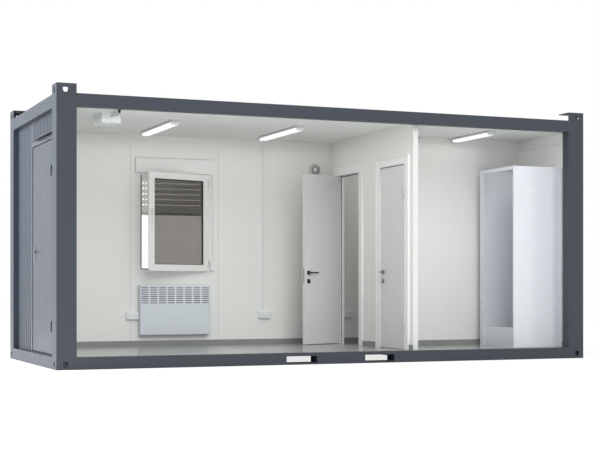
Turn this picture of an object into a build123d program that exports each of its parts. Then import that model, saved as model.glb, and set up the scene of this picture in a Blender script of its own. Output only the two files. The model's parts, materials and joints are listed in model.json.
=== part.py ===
from build123d import *
import math
import os

os.makedirs("parts", exist_ok=True)

# Portable site cabin, with one long side left open.
# Millimetres. X runs along the cabin, Y from the open front to the rear, Z up.
# The origin is on the ground, at the middle of the cabin's plan.

# Steel frame
cabin_length = 6055.0
cabin_width = 2435.0
cabin_height = 2791.0
post_face = 200.0
post_edge_radius = 8.0
roof_beam_height = 128.0
floor_beam_height = 122.0
beam_wall = 6.0

# Corner fittings
top_fitting_height = 93.0
fitting_plate = 10.0
hole_width = 50.0
hole_height = 54.0
hole_from_corner = 90.0
top_hole_sill = 5.0
bottom_hole_sill = 26.0

# Outer walls
wall_recess = 57.5
core_thickness = 27.5
lining_thickness = 12.5
rib_pitch = 110.0
rib_depth = 9.0
rib_crest = 40.0
rib_slope = 12.0
window_panel_left = -1652.0
window_panel_right = -569.0

# Floor and roof build-up
deck_thickness = 22.0
deck_below_rim = 2.0
joist_height = 40.0
joist_width = 60.0
joist_places = [-2550.0, -1950.0, -1350.0, -750.0, 0.0, 750.0, 1350.0, 1950.0, 2550.0]
pocket_width = 345.0
pocket_height = 70.0
pocket_sill = 18.0
pocket_offset = 450.0
pocket_depth = 178.0
pocket_wall = 4.0
ceiling_thickness = 12.0
ceiling_packer = 12.0
roof_skin = 4.0
roof_skin_drop = 34.0
seam_height = 22.0
seam_width = 8.0
seam_pitch = 560.0
skirting_height = 60.0
skirting_thickness = 10.0

# Partition and cross wall
partition_left = 900.0
partition_thickness = 58.0
partition_front_gap = 5.0
cross_wall_from_casing = 72.0
cross_wall_thickness = 58.0

# Inner doors
toilet_door_from_rear = 243.0
shower_door_from_front = 188.0
toilet_open_angle = 67.0
leaf_width = 605.0
leaf_height = 2030.0
leaf_thickness = 40.0
leaf_gap = 8.5
leaf_under_gap = 8.0
leaf_recess = 14.0
casing_width = 95.0
casing_proud = 16.0
casing_bead = 14.0
casing_bead_proud = 5.0
liner_thickness = 30.0
stop_gap = 5.0
stop_width = 15.0

# Hinges of all doors
pin_proud = 9.0
knuckle_radius = 7.0
knuckle_length = 110.0
knuckle_split = 0.4
pin_radius = 3.5
pin_play = 0.4
hinge_flap = 20.0
hinge_from_foot = 277.0
hinge_from_head = 313.0

# Lever handles
spindle_size = 8.0
spindle_opening = 20.0
lever_play = 0.4
lever_arm = 10.0
inner_lever_height = 860.0
inner_backset = 62.0
inner_lever_length = 130.0
inner_lever_reach = 42.0
inner_lever_radius = 9.0
rose_size = 50.0
rose_thickness = 8.0
rose_opening = 12.0
lock_drop = 101.0
entrance_lever_height = 1180.0
entrance_backset = 105.0
entrance_lever_length = 150.0
entrance_lever_reach = 28.0
entrance_lever_radius = 8.0
plate_width = 40.0
plate_height = 176.0
plate_below = 22.0

# Entrance door in the left end wall
entrance_leaf_rear = 185.0
entrance_leaf_width = 975.0
entrance_leaf_bottom = 135.0
entrance_below_beam = 228.0
entrance_leaf_recess = 5.0
entrance_gap = 8.0
entrance_frame_width = 52.0
entrance_frame_head = 49.0
entrance_frame_proud = 10.0
entrance_inner_proud = 12.0
threshold_thickness = 6.0
threshold_lip = 20.0
canopy_rear = -20.0
canopy_above_frame = 8.0
canopy_sheet = 4.0
canopy_lip = 12.0
canopy_upstand = 30.0

# Window and roller shutter in the rear wall
window_middle = -1116.0
window_width = 944.0
window_sill = 955.0
frame_face = 72.0
frame_depth = 65.0
sash_from_sill = 43.0
sash_from_side = 47.0
sash_face = 74.0
sash_lip = 16.0
sash_depth = 62.0
sash_seal = 1.0
sash_fit = 6.0
sash_angle = 18.0
sash_pin_out = 30.0
sash_pin_gap = 4.0
sash_knuckle = 6.0
sash_knuckle_length = 80.0
sash_hinge_inset = 60.0
glass_thickness = 24.0
glass_setback = 12.0
sash_handle_height = 702.0
sash_handle_length = 125.0
sash_handle_reach = 40.0
sash_handle_radius = 8.0
sash_rose_width = 28.0
sash_rose_height = 64.0
sash_rose_thickness = 8.0
shutter_below_ceiling = 264.0
shutter_box_height = 137.0
shutter_cover_drop = 35.0
shutter_box_proud = 22.0
shutter_box_back = 20.0
slat_pitch = 64.0
foot_slat_height = 56.0
slat_thickness = 8.0
slat_bow = 3.0
shutter_drop = 527.0
rail_width = 26.0
rail_depth = 18.0
rail_wall = 3.0
rail_play = 1.0
strap_from_edge = 19.0
strap_width = 14.0
strap_thickness = 2.0
winder_width = 58.0
winder_height = 120.0
winder_depth = 22.0
winder_top = 1121.0

# Fittings of the rooms
heater_middle = -1126.0
heater_width = 856.0
heater_bottom = 245.0
heater_height = 585.0
heater_depth = 66.0
heater_gap = 14.0
heater_corner = 12.0
heater_bracket = 40.0
slot_count = 8
slot_length = 78.0
slot_height = 9.0
slot_pitch_x = 98.0
slot_pitch_z = 28.4
slot_depth = 4.0
slot_from_top = 115.0
socket_places = [-1630.0, 20.0, 1116.0]
socket_height = 475.0
socket_width = 152.0
socket_tall = 92.0
socket_depth = 34.0
socket_hole = 20.0
socket_hole_depth = 14.0
lamp_places = [(-1580.0, 160.0), (-160.0, 115.0)]
lamp_length = 1200.0
short_lamp_x = 2030.0
short_lamp_from_cross_wall = 467.0
short_lamp_length = 876.0
lamp_width = 95.0
lamp_base_height = 16.0
diffuser_from_side = 6.0
diffuser_from_end = 25.0
diffuser_height = 22.0
supply_box_from_end = 575.0
supply_box_front = -728.0
supply_box_width = 200.0
supply_box_depth = 323.0
supply_box_height = 98.0
conduit_width = 16.0
socket_conduit_x = 4.0
ceiling_conduit_offset = 30.0
ceiling_conduit_length = 180.0
ceiling_gland_radius = 14.0
ceiling_gland_height = 28.0
fan_x = 690.0
fan_below_ceiling = 334.0
fan_radius = 76.0
fan_flange = 6.0
fan_depth = 30.0
fan_mouth = 50.0

# Shower cabin
shower_length = 600.0
shower_width = 760.0
shower_from_cross_wall = 120.0
shower_height = 2080.0
shower_panel = 22.0
shower_strip = 84.0
shower_strip_thickness = 12.0
shower_header = 40.0
tray_height = 224.0
tray_bowl_depth = 94.0
tray_rim = 45.0
tray_corner = 60.0

# Planes and levels that follow from the sizes above
half_length = cabin_length / 2
half_width = cabin_width / 2
wall_thickness = core_thickness + lining_thickness
post_leg = wall_recess + core_thickness
beam_depth = wall_recess + wall_thickness
inner_x = half_length - beam_depth
inner_y = half_width - beam_depth
lining_x = half_length - post_leg
lining_y = half_width - post_leg
crest_x = half_length - wall_recess
bay_x = half_length - post_face
bay_y = half_width - post_face
web_x = half_length - beam_wall
web_y = half_width - beam_wall
roof_top = cabin_height - top_fitting_height
wall_top = roof_top - roof_beam_height
wall_base = floor_beam_height
deck_top = floor_beam_height - deck_below_rim
deck_bottom = deck_top - deck_thickness
ceiling_under = wall_top + beam_wall + ceiling_packer
partition_right = partition_left + partition_thickness
partition_front_end = partition_front_gap - inner_y
corners = [(-1, -1), (1, -1), (-1, 1), (1, 1)]

inner_foot = deck_top + leaf_under_gap
door_head = inner_foot + leaf_height + leaf_gap
door_clear_width = leaf_width + 2 * leaf_gap
casing_face = partition_left - casing_proud
toilet_reveal_rear = inner_y - toilet_door_from_rear
toilet_reveal_front = toilet_reveal_rear - door_clear_width
shower_reveal_front = shower_door_from_front - inner_y
shower_reveal_rear = shower_reveal_front + door_clear_width
rough_head = door_head + liner_thickness
cross_wall_rear = toilet_reveal_front - casing_width - cross_wall_from_casing
cross_wall_front = cross_wall_rear - cross_wall_thickness
shower_left = inner_x - shower_length
shower_rear = cross_wall_front - shower_from_cross_wall
shower_front = shower_rear - shower_width

entrance_leaf_front = entrance_leaf_rear - entrance_leaf_width
entrance_reveal_front = entrance_leaf_front - entrance_gap
entrance_reveal_rear = entrance_leaf_rear + entrance_gap
entrance_low = entrance_reveal_front - entrance_frame_width
entrance_high = entrance_reveal_rear + entrance_frame_width
entrance_top = wall_top - entrance_below_beam
entrance_head = entrance_top - entrance_frame_head
entrance_leaf_height = entrance_head - entrance_gap - entrance_leaf_bottom

window_left = window_middle - window_width / 2
window_right = window_middle + window_width / 2
shutter_top = ceiling_under - shutter_below_ceiling
window_top = shutter_top - shutter_box_height
window_height = window_top - window_sill
frame_back = inner_y + frame_depth


def block(low, high, mode=Mode.ADD):
    """Rectangular block between two opposite corners."""
    size = [b - a for a, b in zip(low, high)]
    middle = tuple((a + b) / 2 for a, b in zip(low, high))
    with Locations(middle):
        Box(*size, mode=mode)


def plane_block(plane, low, high):
    """Rectangular block between two opposite corners given on a plane."""
    low_x, high_x = sorted([low[0], high[0]])
    low_y, high_y = sorted([low[1], high[1]])
    with BuildSketch(plane.offset(low[2])) as plan:
        with Locations(((low_x + high_x) / 2, (low_y + high_y) / 2)):
            Rectangle(high_x - low_x, high_y - low_y)
    extrude(plan.sketch, amount=high[2] - low[2])


def plane_rod(plane, x, y, bottom, top, radius, mode=Mode.ADD):
    """Round bar along a plane's normal."""
    with BuildSketch(plane.offset(bottom)) as plan:
        with Locations((x, y)):
            Circle(radius)
    extrude(plan.sketch, amount=top - bottom, mode=mode)


def save(piece, name):
    """Label a finished piece and write it."""
    piece.part.label = name
    export_step(piece.part, f"parts/{name}.step")


# Corner posts
# Each is an L of folded steel: two outer faces, with the walls in its inner corner.
with BuildPart() as corner_posts:
    for side_x, side_y in corners:
        tip = (side_x * half_length, side_y * half_width)
        with BuildSketch(Plane.XY.offset(floor_beam_height)) as plan:
            with BuildLine():
                Polyline(
                    tip,
                    (side_x * bay_x, tip[1]),
                    (side_x * bay_x, side_y * lining_y),
                    (side_x * lining_x, side_y * lining_y),
                    (side_x * lining_x, side_y * bay_y),
                    (tip[0], side_y * bay_y),
                    close=True,
                )
            make_face()
            fillet(plan.vertices().sort_by_distance((tip[0], tip[1], 0))[0], radius=post_edge_radius)
        extrude(amount=roof_top - floor_beam_height)
save(corner_posts, "corner_posts")


# Corner fittings
# Three plates meet at each outer corner: a level one, and two upright ones with a hole
# that is flat on top and round below. The two inner sides are open.
def shield_hole(face_plane, centre, sill):
    """Lifting hole cut through an upright plate, drawn on the plate's own plane."""
    radius = hole_width / 2
    left = (centre - radius, sill + radius)
    right = (centre + radius, sill + radius)
    with BuildSketch(face_plane) as hole:
        with BuildLine():
            Polyline(left, (left[0], sill + hole_height), (right[0], sill + hole_height), right)
            ThreePointArc(right, (centre, sill), left)
        make_face()
    extrude(hole.sketch, amount=-2 * fitting_plate, mode=Mode.SUBTRACT)


def corner_fitting(side_x, side_y, bottom, top, plate_bottom, sill):
    """Fitting at one corner of the frame."""
    x_out = side_x * half_length
    y_out = side_y * half_width
    x_span = sorted([x_out, side_x * bay_x])
    y_span = sorted([y_out, side_y * bay_y])
    x_skin = sorted([x_out, x_out - side_x * fitting_plate])
    y_skin = sorted([y_out, y_out - side_y * fitting_plate])
    with BuildPart() as fitting:
        block((x_span[0], y_span[0], plate_bottom), (x_span[1], y_span[1], plate_bottom + fitting_plate))
        block((x_skin[0], y_span[0], bottom), (x_skin[1], y_span[1], top))
        block((x_span[0], y_skin[0], bottom), (x_span[1], y_skin[1], top))
        upright = fitting.edges().filter_by(Axis.Z).sort_by_distance((x_out, y_out, bottom))[0]
        fillet(upright, radius=post_edge_radius)
        long_face = Plane(origin=(0, y_out, 0), x_dir=(side_y * -1, 0, 0), z_dir=(0, side_y, 0))
        shield_hole(long_face, -side_y * side_x * (half_length - hole_from_corner), bottom + sill)
        end_face = Plane(origin=(x_out, 0, 0), x_dir=(0, side_x, 0), z_dir=(side_x, 0, 0))
        shield_hole(end_face, side_x * side_y * (half_width - hole_from_corner), bottom + sill)
    return fitting


top_plate = cabin_height - fitting_plate
top_set = [corner_fitting(sx, sy, roof_top, cabin_height, top_plate, top_hole_sill) for sx, sy in corners]
bottom_set = [corner_fitting(sx, sy, 0, floor_beam_height, 0, bottom_hole_sill) for sx, sy in corners]

with BuildPart() as corner_fittings_top:
    for fitting in top_set:
        add(fitting.part)
save(corner_fittings_top, "corner_fittings_top")

with BuildPart() as corner_fittings_bottom:
    for fitting in bottom_set:
        add(fitting.part)
save(corner_fittings_bottom, "corner_fittings_bottom")


# Roof and floor beams
# Each is a channel: the web is the outer face and two flanges reach inwards.
def channel(plane, length, height):
    """Channel beam on a plane across it, whose X points outwards from the web's face."""
    outline = [
        (0, 0),
        (-beam_depth, 0),
        (-beam_depth, beam_wall),
        (-beam_wall, beam_wall),
        (-beam_wall, height - beam_wall),
        (-beam_depth, height - beam_wall),
        (-beam_depth, height),
        (0, height),
    ]
    with BuildSketch(plane) as section:
        with BuildLine():
            Polyline(*outline, close=True)
        make_face()
    extrude(section.sketch, amount=length / 2, both=True)


def long_beam_plane(side, level):
    return Plane(origin=(0, side * half_width, level), x_dir=(0, side, 0), z_dir=(side, 0, 0))


def end_beam_plane(side, level):
    return Plane(origin=(side * half_length, 0, level), x_dir=(side, 0, 0), z_dir=(0, -side, 0))


with BuildPart() as roof_beams:
    for side in (-1, 1):
        channel(long_beam_plane(side, wall_top), 2 * bay_x, roof_beam_height)
        channel(end_beam_plane(side, wall_top), 2 * bay_y, roof_beam_height)
save(roof_beams, "roof_beams")

with BuildPart() as floor_beams_end:
    for side in (-1, 1):
        channel(end_beam_plane(side, 0), 2 * bay_y, floor_beam_height)
save(floor_beams_end, "floor_beams_end")


def floor_beam(side):
    """Long floor beam with two lined pockets for the forks of a lift truck."""
    y_span = sorted([side * half_width, side * (half_width - pocket_depth)])
    sill = pocket_sill
    head = pocket_sill + pocket_height
    with BuildPart() as beam:
        channel(long_beam_plane(side, 0), 2 * bay_x, floor_beam_height)
        for middle in (-pocket_offset, pocket_offset):
            left = middle - pocket_width / 2
            right = middle + pocket_width / 2
            block(
                (left - pocket_wall, y_span[0], sill - pocket_wall),
                (right + pocket_wall, y_span[1], head + pocket_wall),
            )
            block((left, y_span[0], sill), (right, y_span[1], head), mode=Mode.SUBTRACT)
    return beam


save(floor_beam(-1), "floor_beam_front")
save(floor_beam(1), "floor_beam_rear")

# Floor: cross joists between the long beams' webs, and the deck on them
with BuildPart() as floor_joists:
    for place in joist_places:
        low = (place - joist_width / 2, -web_y, deck_bottom - joist_height)
        block(low, (place + joist_width / 2, web_y, deck_bottom))
save(floor_joists, "floor_joists")

with BuildPart() as floor_deck:
    block((-inner_x, -inner_y, deck_bottom), (inner_x, inner_y, deck_top))
save(floor_deck, "floor_deck")

# Ceiling: a flat board on packers that lie on the roof beams' lower flanges
with BuildPart() as ceiling_panel:
    with BuildSketch(Plane.XY.offset(ceiling_under)):
        Rectangle(2 * bay_x, 2 * web_y)
        Rectangle(2 * web_x, 2 * bay_y)
    extrude(amount=ceiling_thickness)
    with BuildSketch(Plane.XY.offset(wall_top + beam_wall)):
        Rectangle(2 * bay_x, 2 * web_y)
        Rectangle(2 * web_x, 2 * bay_y)
        Rectangle(2 * inner_x, 2 * inner_y, mode=Mode.SUBTRACT)
    extrude(amount=ceiling_packer)
save(ceiling_panel, "ceiling_panel")

# Roof: a sunk steel skin with standing seams across the cabin
with BuildPart() as roof_sheet:
    skin_top = roof_top - roof_skin_drop
    with BuildSketch(Plane.XY.offset(skin_top - roof_skin)):
        Rectangle(2 * bay_x, 2 * web_y)
        Rectangle(2 * web_x, 2 * bay_y)
    extrude(amount=roof_skin)
    seam_count = int((2 * bay_x) // seam_pitch)
    with BuildSketch(Plane.XY.offset(skin_top)):
        with GridLocations(seam_pitch, 1, seam_count, 1):
            Rectangle(seam_width, 2 * inner_y)
    extrude(amount=seam_height)
save(roof_sheet, "roof_sheet")


# Outer walls
# A wall panel is a lining board on a core whose outer skin is folded into ribs.
# It is drawn on a level plane whose X runs along the wall and whose Y points outdoors.
def ribbed_skin(start, end):
    """Points of the folded outer skin from one end of a panel to the other."""
    crest = wall_thickness
    half_groove = (rib_pitch - rib_crest) / 2
    count = int((end - start - rib_crest) // rib_pitch)
    points = [(start, crest)]
    for index in range(count):
        groove = (start + end) / 2 + (index - (count - 1) / 2) * rib_pitch
        points.append((groove - half_groove, crest))
        points.append((groove - half_groove + rib_slope, crest - rib_depth))
        points.append((groove + half_groove - rib_slope, crest - rib_depth))
        points.append((groove + half_groove, crest))
    points.append((end, crest))
    return points


def wall_panel(plane, core, lining, height):
    """Wall panel; core and lining are the ends of its two layers along the wall."""
    with BuildSketch(plane) as plan:
        with BuildLine() as core_line:
            Polyline(*ribbed_skin(*core), (core[1], lining_thickness), (core[0], lining_thickness), close=True)
        make_face(core_line.edges())
        with Locations(((lining[0] + lining[1]) / 2, lining_thickness / 2)):
            Rectangle(lining[1] - lining[0], lining_thickness)
    extrude(plan.sketch, amount=height)


wall_height = wall_top - wall_base
rear_plane = Plane(origin=(0, inner_y, wall_base), x_dir=(1, 0, 0), z_dir=(0, 0, 1))
left_plane = Plane(origin=(-inner_x, 0, wall_base), x_dir=(0, 1, 0), z_dir=(0, 0, 1))
right_plane = Plane(origin=(inner_x, 0, wall_base), x_dir=(0, -1, 0), z_dir=(0, 0, 1))

with BuildPart() as rear_wall_left:
    wall_panel(rear_plane, (-bay_x, window_panel_left), (-inner_x, window_panel_left), wall_height)
save(rear_wall_left, "rear_wall_left")

with BuildPart() as rear_wall_window_panel:
    panel_ends = (window_panel_left, window_panel_right)
    wall_panel(rear_plane, panel_ends, panel_ends, wall_height)
    block(
        (window_left, inner_y - beam_wall, window_sill),
        (window_right, half_width, shutter_top),
        mode=Mode.SUBTRACT,
    )
save(rear_wall_window_panel, "rear_wall_window_panel")

with BuildPart() as rear_wall_right:
    wall_panel(rear_plane, (window_panel_right, bay_x), (window_panel_right, inner_x), wall_height)
save(rear_wall_right, "rear_wall_right")

with BuildPart() as right_end_wall:
    wall_panel(right_plane, (-bay_y, bay_y), (-lining_y, lining_y), wall_height)
save(right_end_wall, "right_end_wall")

with BuildPart() as left_end_wall_rear:
    wall_panel(left_plane, (entrance_high, bay_y), (entrance_high, lining_y), wall_height)
save(left_end_wall_rear, "left_end_wall_rear")

with BuildPart() as left_end_wall_front:
    wall_panel(left_plane, (-bay_y, entrance_low), (-lining_y, entrance_low), wall_height)
save(left_end_wall_front, "left_end_wall_front")

with BuildPart() as left_end_wall_over_door:
    above_door = left_plane.offset(entrance_top - wall_base)
    door_ends = (entrance_low, entrance_high)
    wall_panel(above_door, door_ends, door_ends, wall_top - entrance_top)
save(left_end_wall_over_door, "left_end_wall_over_door")

# Partition between the main room and the wet rooms, split round its two doorways
with BuildPart() as partition_rear:
    low = (partition_left, toilet_reveal_rear + liner_thickness, deck_top)
    block(low, (partition_right, inner_y, ceiling_under))
save(partition_rear, "partition_rear")

with BuildPart() as partition_middle:
    low = (partition_left, shower_reveal_rear + liner_thickness, deck_top)
    block(low, (partition_right, toilet_reveal_front - liner_thickness, rough_head))
save(partition_middle, "partition_middle")

with BuildPart() as partition_front:
    low = (partition_left, partition_front_end, deck_top)
    block(low, (partition_right, shower_reveal_front - liner_thickness, ceiling_under))
save(partition_front, "partition_front")

with BuildPart() as partition_over_doors:
    low = (partition_left, shower_reveal_front - liner_thickness, rough_head)
    block(low, (partition_right, toilet_reveal_rear + liner_thickness, ceiling_under))
save(partition_over_doors, "partition_over_doors")

with BuildPart() as cross_wall:
    low = (partition_right, cross_wall_front, deck_top)
    block(low, (inner_x, cross_wall_rear, ceiling_under))
save(cross_wall, "cross_wall")

# Skirtings: plan outlines of the boards along the walls, clear of the door casings
with BuildPart() as skirtings:
    board = skirting_thickness
    low_z = deck_top
    high_z = deck_top + skirting_height
    face = partition_left - board
    block((-inner_x, inner_y - board, low_z), (partition_left, inner_y, high_z))
    block((face, toilet_reveal_rear + casing_width, low_z), (partition_left, inner_y, high_z))
    block(
        (face, shower_reveal_rear + casing_width, low_z),
        (partition_left, toilet_reveal_front - casing_width, high_z),
    )
    block((face, partition_front_end, low_z), (partition_left, shower_reveal_front - casing_width, high_z))
    block((-inner_x, entrance_high + board, low_z), (board - inner_x, inner_y, high_z))
    block((-inner_x, -inner_y, low_z), (board - inner_x, entrance_low - board, high_z))
    block((partition_right, inner_y - board, low_z), (inner_x, inner_y, high_z))
    block((inner_x - board, cross_wall_rear, low_z), (inner_x, inner_y, high_z))
    block((partition_right + casing_proud, cross_wall_rear, low_z), (inner_x, cross_wall_rear + board, high_z))
    block((partition_right, cross_wall_front - board, low_z), (inner_x, cross_wall_front, high_z))
    block((inner_x - board, -inner_y, low_z), (inner_x, shower_front, high_z))
save(skirtings, "skirtings")


# Door frames
def u_layer(x_from, x_to, base, outer, inner):
    """Layer of a door frame: an upside-down U of even thickness along X.

    outer and inner are each the low Y, the high Y and the top of one outline.
    """
    with BuildSketch(Plane.YZ.offset(x_from)) as ring:
        for (low, high, top), mode in ((outer, Mode.ADD), (inner, Mode.SUBTRACT)):
            with Locations(((low + high) / 2, (base + top) / 2)):
                Rectangle(high - low, top - base, mode=mode)
    extrude(ring.sketch, amount=x_to - x_from)


def frame_hinge(pin_x, pin_y, face_x, jamb_side, height):
    """Lower knuckle of a hinge with its pin, and the flap that screws to the jamb's face."""
    foot = height - knuckle_length / 2
    head = height - knuckle_split / 2
    plane_rod(Plane.XY, pin_x, pin_y, foot, head, knuckle_radius)
    plane_rod(Plane.XY, pin_x, pin_y, head, height + knuckle_length / 2 - knuckle_radius, pin_radius)
    plane_block(Plane.XY, (pin_x, pin_y, foot), (face_x, pin_y + jamb_side * hinge_flap, head))


def inner_door_frame(reveal_low, reveal_high, pin_y, jamb_side):
    """Casings on both faces of the partition, the liner between them and the stop."""
    low = reveal_low - casing_width
    high = reveal_high + casing_width
    top = door_head + casing_width
    bead = casing_bead
    far_face = partition_right + casing_proud
    stop_face = casing_face + leaf_recess + leaf_thickness + stop_gap
    reveal = (reveal_low, reveal_high, door_head)
    rough = (reveal_low - liner_thickness, reveal_high + liner_thickness, rough_head)
    with BuildPart() as frame:
        u_layer(
            casing_face - casing_bead_proud,
            casing_face,
            deck_top,
            (low, high, top),
            (low + bead, high - bead, top - bead),
        )
        u_layer(casing_face, partition_left, deck_top, (low, high, top), reveal)
        u_layer(partition_left, partition_right, deck_top, rough, reveal)
        u_layer(partition_right, far_face, deck_top, (low, high, top), reveal)
        u_layer(
            stop_face,
            far_face,
            deck_top,
            reveal,
            (reveal_low + stop_width, reveal_high - stop_width, door_head - stop_width),
        )
        for hinge in inner_hinges:
            frame_hinge(casing_face - pin_proud, pin_y, casing_face, jamb_side, inner_foot + hinge)
    return frame


def hinge_line(height):
    """Heights of a leaf's two hinges above its foot."""
    return [hinge_from_foot, height - hinge_from_head]


inner_hinges = hinge_line(leaf_height)
save(inner_door_frame(toilet_reveal_front, toilet_reveal_rear, toilet_reveal_rear, 1), "toilet_door_frame")
save(inner_door_frame(shower_reveal_front, shower_reveal_rear, shower_reveal_front, -1), "shower_door_frame")

entrance_face = -(crest_x + entrance_frame_proud)
entrance_pin_x = entrance_face - pin_proud
entrance_hinges = hinge_line(entrance_leaf_height)

with BuildPart() as entrance_door_frame:
    inside = entrance_inner_proud - inner_x
    stop_face = entrance_face + entrance_leaf_recess + leaf_thickness + stop_gap
    reveal = (entrance_reveal_front, entrance_reveal_rear, entrance_head)
    u_layer(entrance_face, inside, wall_base, (entrance_low, entrance_high, entrance_top), reveal)
    u_layer(
        stop_face,
        inside,
        wall_base,
        reveal,
        (entrance_reveal_front + stop_width, entrance_reveal_rear - stop_width, entrance_head - stop_width),
    )
    block(
        (entrance_face, entrance_reveal_front, wall_base),
        (inside, entrance_reveal_rear, wall_base + threshold_thickness),
    )
    block(
        (stop_face, entrance_reveal_front, wall_base),
        (inside, entrance_reveal_rear, wall_base + threshold_lip),
    )
    for hinge in entrance_hinges:
        frame_hinge(entrance_pin_x, entrance_reveal_front, entrance_face, -1, entrance_leaf_bottom + hinge)
save(entrance_door_frame, "entrance_door_frame")

# Canopy: folded sheet over the entrance, with a lip at its outer edge
with BuildPart() as entrance_canopy:
    low_z = entrance_top + canopy_above_frame
    sheet = canopy_sheet
    with BuildSketch(Plane(origin=(0, -bay_y, 0), x_dir=(1, 0, 0), z_dir=(0, -1, 0))):
        with BuildLine():
            Polyline(
                (-crest_x, low_z),
                (-crest_x, low_z + canopy_upstand),
                (-crest_x - sheet, low_z + canopy_upstand),
                (-crest_x - sheet, low_z + sheet),
                (-half_length, low_z + sheet),
                (-half_length, low_z + sheet - canopy_lip),
                (sheet - half_length, low_z + sheet - canopy_lip),
                (sheet - half_length, low_z),
                close=True,
            )
        make_face()
    extrude(amount=-(canopy_rear + bay_y))
save(entrance_canopy, "entrance_canopy")


# Door leaves and handles
# A leaf is drawn on a level plane at the foot of its hinge line, with X along the leaf.
# hand is 1 where the plane's Y points from the near face to the far face, otherwise -1.
def door_leaf(plane, hand, gap, near, size, hinges, spindle):
    """Leaf with the upper knuckles of its hinges and the opening for its handle."""
    width, height = size
    far = near + leaf_thickness
    with BuildPart() as leaf:
        plane_block(plane, (gap, hand * near, 0), (gap + width, hand * far, height))
        for hinge in hinges:
            foot = hinge + knuckle_split / 2
            head = hinge + knuckle_length / 2
            plane_rod(plane, 0, 0, foot, head, knuckle_radius)
            plane_block(plane, (pin_radius, 0, foot), (gap + hinge_flap, hand * near, head))
            bore_head = head - knuckle_radius + 2 * pin_play
            plane_rod(plane, 0, 0, foot, bore_head, pin_radius + pin_play, mode=Mode.SUBTRACT)
        with BuildSketch(handle_plane(plane, spindle)):
            Rectangle(spindle_opening, spindle_opening)
        extrude(amount=2 * far, both=True, mode=Mode.SUBTRACT)
    return leaf


def handle_plane(plane, spindle):
    """Upright plane at the spindle: X along the leaf, Y down, Z through the leaf."""
    origin = plane.from_local_coords((spindle[0], 0, spindle[1]))
    return Plane(origin=origin, x_dir=plane.x_dir, z_dir=plane.y_dir)


def lever_handle(across, hand, near, reach, length, radius):
    """Square spindle through the leaf, and on each rose a neck and an arm towards the hinges."""
    far = near + leaf_thickness
    seat = rose_thickness + lever_play
    low, high = sorted([hand * (near - reach / 2), hand * (far + reach / 2)])
    with BuildPart() as lever:
        with BuildSketch(across.offset(low)):
            Rectangle(spindle_size, spindle_size)
        extrude(amount=high - low)
        for face, side in ((near, -1), (far, 1)):
            with BuildSketch(across.offset(hand * (face + side * seat))):
                Circle(radius)
            extrude(amount=hand * side * (reach - seat))
            with BuildSketch(across.offset(hand * (face + side * reach))):
                with Locations(((radius - length) / 2, 0)):
                    Rectangle(length + radius, 2 * radius)
            extrude(amount=hand * side * lever_arm)
    return lever


def plane_at_hinge(pin_x, pin_y, foot, angle):
    """Level plane whose X runs from the hinge pin along the leaf, at an angle to +X."""
    turn = math.radians(angle)
    return Plane(origin=(pin_x, pin_y, foot), x_dir=(math.cos(turn), math.sin(turn), 0), z_dir=(0, 0, 1))


inner_pin_x = casing_face - pin_proud
inner_near = pin_proud + leaf_recess
inner_spindle = (leaf_gap + leaf_width - inner_backset, deck_top + inner_lever_height - inner_foot)
toilet_plane = plane_at_hinge(inner_pin_x, toilet_reveal_rear, inner_foot, -90 - toilet_open_angle)
shower_plane = plane_at_hinge(inner_pin_x, shower_reveal_front, inner_foot, 90)

for name, plane, hand in (("toilet", toilet_plane, 1), ("shower", shower_plane, -1)):
    leaf_size = (leaf_width, leaf_height)
    across = handle_plane(plane, inner_spindle)
    leaf = door_leaf(plane, hand, leaf_gap, inner_near, leaf_size, inner_hinges, inner_spindle)
    save(leaf, f"{name}_door_leaf")
    lever = lever_handle(across, hand, inner_near, inner_lever_reach, inner_lever_length, inner_lever_radius)
    save(lever, f"{name}_door_lever")
    with BuildPart() as roses:
        for face, side in ((inner_near, -1), (inner_near + leaf_thickness, 1)):
            start = min(hand * face, hand * (face + side * rose_thickness))
            with BuildSketch(across.offset(start)):
                with Locations((0, 0), (0, lock_drop)):
                    Rectangle(rose_size, rose_size)
                Rectangle(rose_opening, rose_opening, mode=Mode.SUBTRACT)
            extrude(amount=rose_thickness)
    save(roses, f"{name}_door_roses")

entrance_plane = plane_at_hinge(entrance_pin_x, entrance_reveal_front, entrance_leaf_bottom, 90)
entrance_near = pin_proud + entrance_leaf_recess
entrance_spindle = (
    entrance_gap + entrance_leaf_width - entrance_backset,
    entrance_lever_height - entrance_leaf_bottom,
)
entrance_across = handle_plane(entrance_plane, entrance_spindle)
entrance_size = (entrance_leaf_width, entrance_leaf_height)
entrance_door_leaf = door_leaf(
    entrance_plane, -1, entrance_gap, entrance_near, entrance_size, entrance_hinges, entrance_spindle
)
save(entrance_door_leaf, "entrance_door_leaf")
entrance_door_lever = lever_handle(
    entrance_across, -1, entrance_near, entrance_lever_reach, entrance_lever_length, entrance_lever_radius
)
save(entrance_door_lever, "entrance_door_lever")

with BuildPart() as entrance_door_plates:
    for start in (-entrance_near, -entrance_near - leaf_thickness - rose_thickness):
        with BuildSketch(entrance_across.offset(start)):
            with Locations((0, plate_below)):
                Rectangle(plate_width, plate_height)
            Rectangle(rose_opening, rose_opening, mode=Mode.SUBTRACT)
        extrude(amount=rose_thickness)
save(entrance_door_plates, "entrance_door_plates")


# Window
def ring(plane, outer, inner, depth):
    """Rectangular ring drawn on a plane; outer and inner are low X, high X, low Y, high Y."""
    with BuildSketch(plane) as outline:
        for (left, right, bottom, top), mode in ((outer, Mode.ADD), (inner, Mode.SUBTRACT)):
            with Locations(((left + right) / 2, (bottom + top) / 2)):
                Rectangle(right - left, top - bottom, mode=mode)
    extrude(outline.sketch, amount=depth)


def inset(edges, amount):
    """Rectangle's four edges moved inwards."""
    left, right, bottom, top = edges
    return (left + amount, right - amount, bottom + amount, top - amount)


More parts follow.
